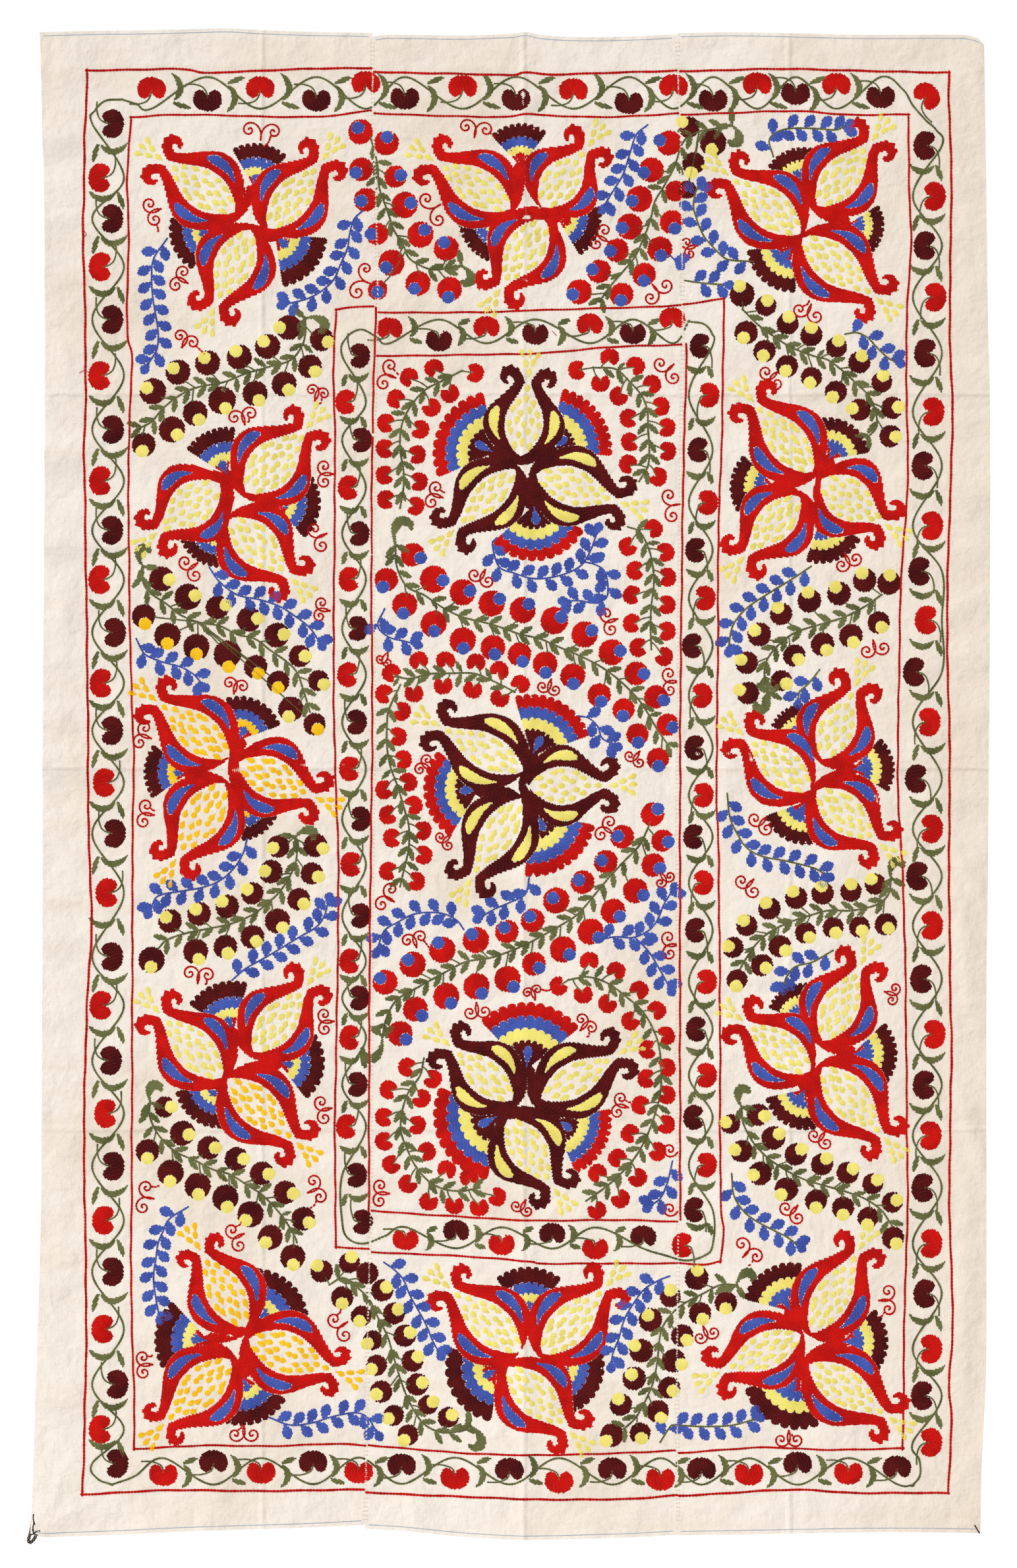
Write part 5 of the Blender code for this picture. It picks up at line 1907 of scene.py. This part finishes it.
@dataclass(frozen=True)
class CornerLoop:
    """The strip of printed cloth sewn under the lower left corner, bent into a drop."""

    wide: float = 5.0
    thick: float = 1.2
    folded: float = 5.0
    sections: int = 72
    name: str = "corner_loop_strip"

    def build(self, material: bpy.types.Material) -> bpy.types.Object:
        """Builds the strip where its solid is, with rounded long edges, and dresses it."""
        low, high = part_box("corner_loop")
        line = smooth_path(LOOP_ROUTE, 0.7)
        run = run_along(line)
        at = np.linspace(0, run[-1], self.sections)
        line = np.stack((np.interp(at, run, line[:, 0]), np.interp(at, run, line[:, 1])), 1)
        ahead = np.gradient(line, axis=0)
        side = np.stack((-ahead[:, 1], ahead[:, 0]), 1) / np.hypot(*ahead.T)[:, None]
        turn = np.linspace(0, 2 * math.pi, 16, endpoint=False)
        out = np.sign(np.cos(turn)) * np.abs(np.cos(turn)) ** 0.45 * self.thick / 2
        deep = (1 + np.sign(np.sin(turn)) * np.abs(np.sin(turn)) ** 0.6) * self.wide / 2
        spots = np.empty((self.sections, 16, 3))
        chart = line[:, None, :] + side[:, None, :] * out[None, :, None]
        spots[..., 0] = (chart[..., 0] - CENTRE_ACROSS) * MM
        spots[..., 1] = low[1] + deep * MM
        spots[..., 2] = -(chart[..., 1] - TOP_DOWN) * MM
        rows = np.stack(np.broadcast_arrays(at[:, None], (deep / self.wide)[None, :]), -1).reshape(-1, 2)
        fold = spots.copy()
        chart = line[:, None, :] + side[:, None, :] * (out * self.folded / self.thick)[None, :, None]
        fold[..., 0] = (chart[..., 0] - CENTRE_ACROSS) * MM
        fold[..., 1] = low[1] + (deep / self.wide * self.thick - 0.2) * MM
        fold[..., 2] = -(chart[..., 1] - TOP_DOWN) * MM
        beside = (out / self.thick + 0.5)[None, :] * 1.4
        fold_rows = np.stack(np.broadcast_arrays(at[:, None], beside), -1).reshape(-1, 2)
        k = np.arange(self.sections - 1)[:, None] * 16
        j = np.arange(16)[None, :]
        after = (j + 1) % 16
        corners = np.broadcast_arrays(k + j, k + after, k + after + 16, k + j + 16)
        faces = np.stack([corner.ravel() for corner in corners], 1)
        faces = np.concatenate((faces, faces + self.sections * 16))
        spots = np.concatenate((spots.reshape(-1, 3), fold.reshape(-1, 3)))
        item = new_piece(self.name, spots, faces, material, np.concatenate((rows, fold_rows)))
        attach(item, "root")
        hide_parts("corner_loop")
        return item


@dataclass(frozen=True)
class Studio:
    """The plain pale floor, the soft light and the camera."""

    distance: float = 8.0
    frame_high: float = 2.380
    middle: tuple[float, float] = (-0.0085, -1.139)
    sensor: float = 36.0
    floor_behind: float = 2.4
    floor_level: float = -2.85

    def build(self) -> None:
        """Builds the stage, the lights and the camera."""
        tone, _, shader = new_paint("studio_paint")
        shader.inputs["Base Color"].default_value = linear(244, 244, 242)
        shader.inputs["Roughness"].default_value = 0.95
        near, far, wide, level = -7.0, self.floor_behind, 6.0, self.floor_level
        spots = np.array(((-wide, near, level), (wide, near, level), (wide, far, level), (-wide, far, level)))
        new_piece("studio_floor", spots, np.array(((0, 1, 2, 3),)), tone)
        bpy.context.scene.view_settings.view_transform = "Standard"
        for name, toward, energy, soft in (
            ("key", (0.85, 0.68, -0.85), 2.2, 0.16), ("fill", (-0.5, 0.9, 0.1), 0.2, 1.2),
            ("behind", (0.6, -0.9, -0.7), 0.7, 0.3),
        ):
            light = bpy.data.lights.new(name, "SUN")
            light.energy, light.angle = energy, soft
            item = bpy.data.objects.new(name, light)
            item.rotation_euler = Vector(toward).to_track_quat("-Z", "Y").to_euler()
            bpy.context.scene.collection.objects.link(item)
        world = bpy.data.worlds.new("soft_daylight")
        world.use_nodes = True
        nodes = Nodes(world.node_tree)
        ground = world.node_tree.nodes["Background"]
        ground.inputs[0].default_value = linear(254, 254, 255)
        way = nodes.add("ShaderNodeSeparateXYZ", {0: nodes.add("ShaderNodeTexCoord").outputs["Generated"]})
        bright = nodes.math("MULTIPLY", nodes.ramp(way.outputs[1], 0.1, 0.7), 0.46)
        world.node_tree.links.new(nodes.math("ADD", bright, 0.56), ground.inputs[1])
        bpy.context.scene.world = world
        lens = bpy.data.cameras.new("camera")
        lens.sensor_width = self.sensor
        lens.lens = self.sensor * self.distance / self.frame_high
        lens.clip_end = 100.0
        camera = bpy.data.objects.new("camera", lens)
        camera.location = (self.middle[0], -self.distance, self.middle[1])
        camera.rotation_euler = (math.pi / 2, 0.0, 0.0)
        bpy.context.scene.collection.objects.link(camera)
        bpy.context.scene.camera = camera


@dataclass
class Hanging:
    """The whole hanging: cloth, embroidery, seams, hems and the corner loop."""

    panels: list[Panel] = field(default_factory=lambda: [
        Panel("panel_left", LEFT_EDGE, LEFT_SEAM, LEFT_TOP, LEFT_FOOT, (0.503, 2.285), 0.0, -HALF_SEAM),
        Panel(
            "panel_middle", LEFT_SEAM, RIGHT_SEAM, MIDDLE_TOP, MIDDLE_FOOT, (0.465, 2.285), HALF_SEAM, -HALF_SEAM,
        ),
        Panel("panel_right", RIGHT_SEAM, RIGHT_EDGE, RIGHT_TOP, RIGHT_FOOT, (0.470, 2.278), HALF_SEAM, 0.0),
    ])

    def hem_lines(self, work: Embroidery) -> None:
        """Adds the pale blue stitch line inside the top and foot edges, and the black corner stitches."""
        for panel in self.panels:
            for table, inset in ((panel.top, 5.5), (panel.foot, -6.0)):
                line = Line(table)
                across = np.arange(table[0][0] + 6, table[-1][0] - 6, 4.0)
                work.line(np.stack((across, line.at(across) + inset), 1), Thread.HEM_BLUE, 1.2)
        for path in (
            ((51, 2299), (51, 2306), (53, 2312)), ((52, 2311), (50.5, 2317), (51, 2322)),
            ((53, 2326), (57, 2323), (60, 2323)),
            ((50, 2322), (52, 2327), (56, 2329)), ((50, 2328), (54, 2325)), ((1480, 2317), (1486, 2327)),
        ):
            work.line(smooth_path(path, 1.5), Thread.BLACK, 2.2)

    def seam_stitches(self, work: Embroidery) -> None:
        """Adds the small slanting stitches that join the panels, on both sides of each seam."""
        for k, table, side in ((0, LEFT_SEAM, -1), (1, LEFT_SEAM, 1), (1, RIGHT_SEAM, -1), (2, RIGHT_SEAM, 1)):
            line = Line(table)
            for down in np.arange(64.0, 2310.0, 6.5):
                across = float(line.at(down))
                start, end = np.array((across + side * 0.4, down)), np.array((across + side * 3.4, down + 1.6))
                for books in (work.front, work.back):
                    books.setdefault((k, Thread.SEAM), RowBook()).add(start, end, 0.7, 0.45)

    def thread_tails(self, work: Embroidery) -> None:
        """Adds the loose red ends that were left beside some motifs."""
        for path in (
            ((121, 566), (127, 563), (135, 565)), ((127, 350), (131, 356), (126, 361)), ((745, 470), (749, 478)),
            ((838, 503), (844, 509)), ((503, 1183), (508, 1189)), ((1343, 562), (1349, 568)),
        ):
            work.line(smooth_path(path, 2.0), R, 1.4)

    def build(self) -> None:
        """Builds and dresses every piece."""
        cotton = CottonFinish().material()
        for panel in self.panels:
            cloth = panel.sheet(cotton)
            LOG.info("%s: %d faces", cloth.name, len(cloth.data.polygons))
        work = Embroidery(self.panels)
        for motifs in (HEART_ROWS, TREFOILS, SPRAYS, CHERRY_VINES, LEAF_SPRAYS, CURLS):
            for motif in motifs:
                motif.sew(work)
        for width, paths in BORDER_LINES:
            for path in paths:
                line = smooth_path(path, 3.0)
                run = np.arange(len(line))
                waver = np.stack((
                    np.sin(run * 0.31) + np.sin(run * 0.117), np.sin(run * 0.27) + np.sin(run * 0.093),
                ), 1)
                work.line(line + 0.35 * waver, R, width)
        self.hem_lines(work)
        self.seam_stitches(work)
        self.thread_tails(work)
        finishes = {thread: finish.material() for thread, finish in FINISHES.items()}
        work.finish_fills(finishes)
        work.finish_lines(finishes)
        loop = CornerLoop().build(StripFinish().material())
        LOG.info("%s: %d faces", loop.name, len(loop.data.polygons))


def main() -> None:
    """Builds the hanging in its studio."""
    logging.basicConfig(level=logging.INFO, format="%(name)s: %(message)s")
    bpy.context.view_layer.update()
    Hanging().build()
    Studio().build()


if __name__ == "__main__":
    main()
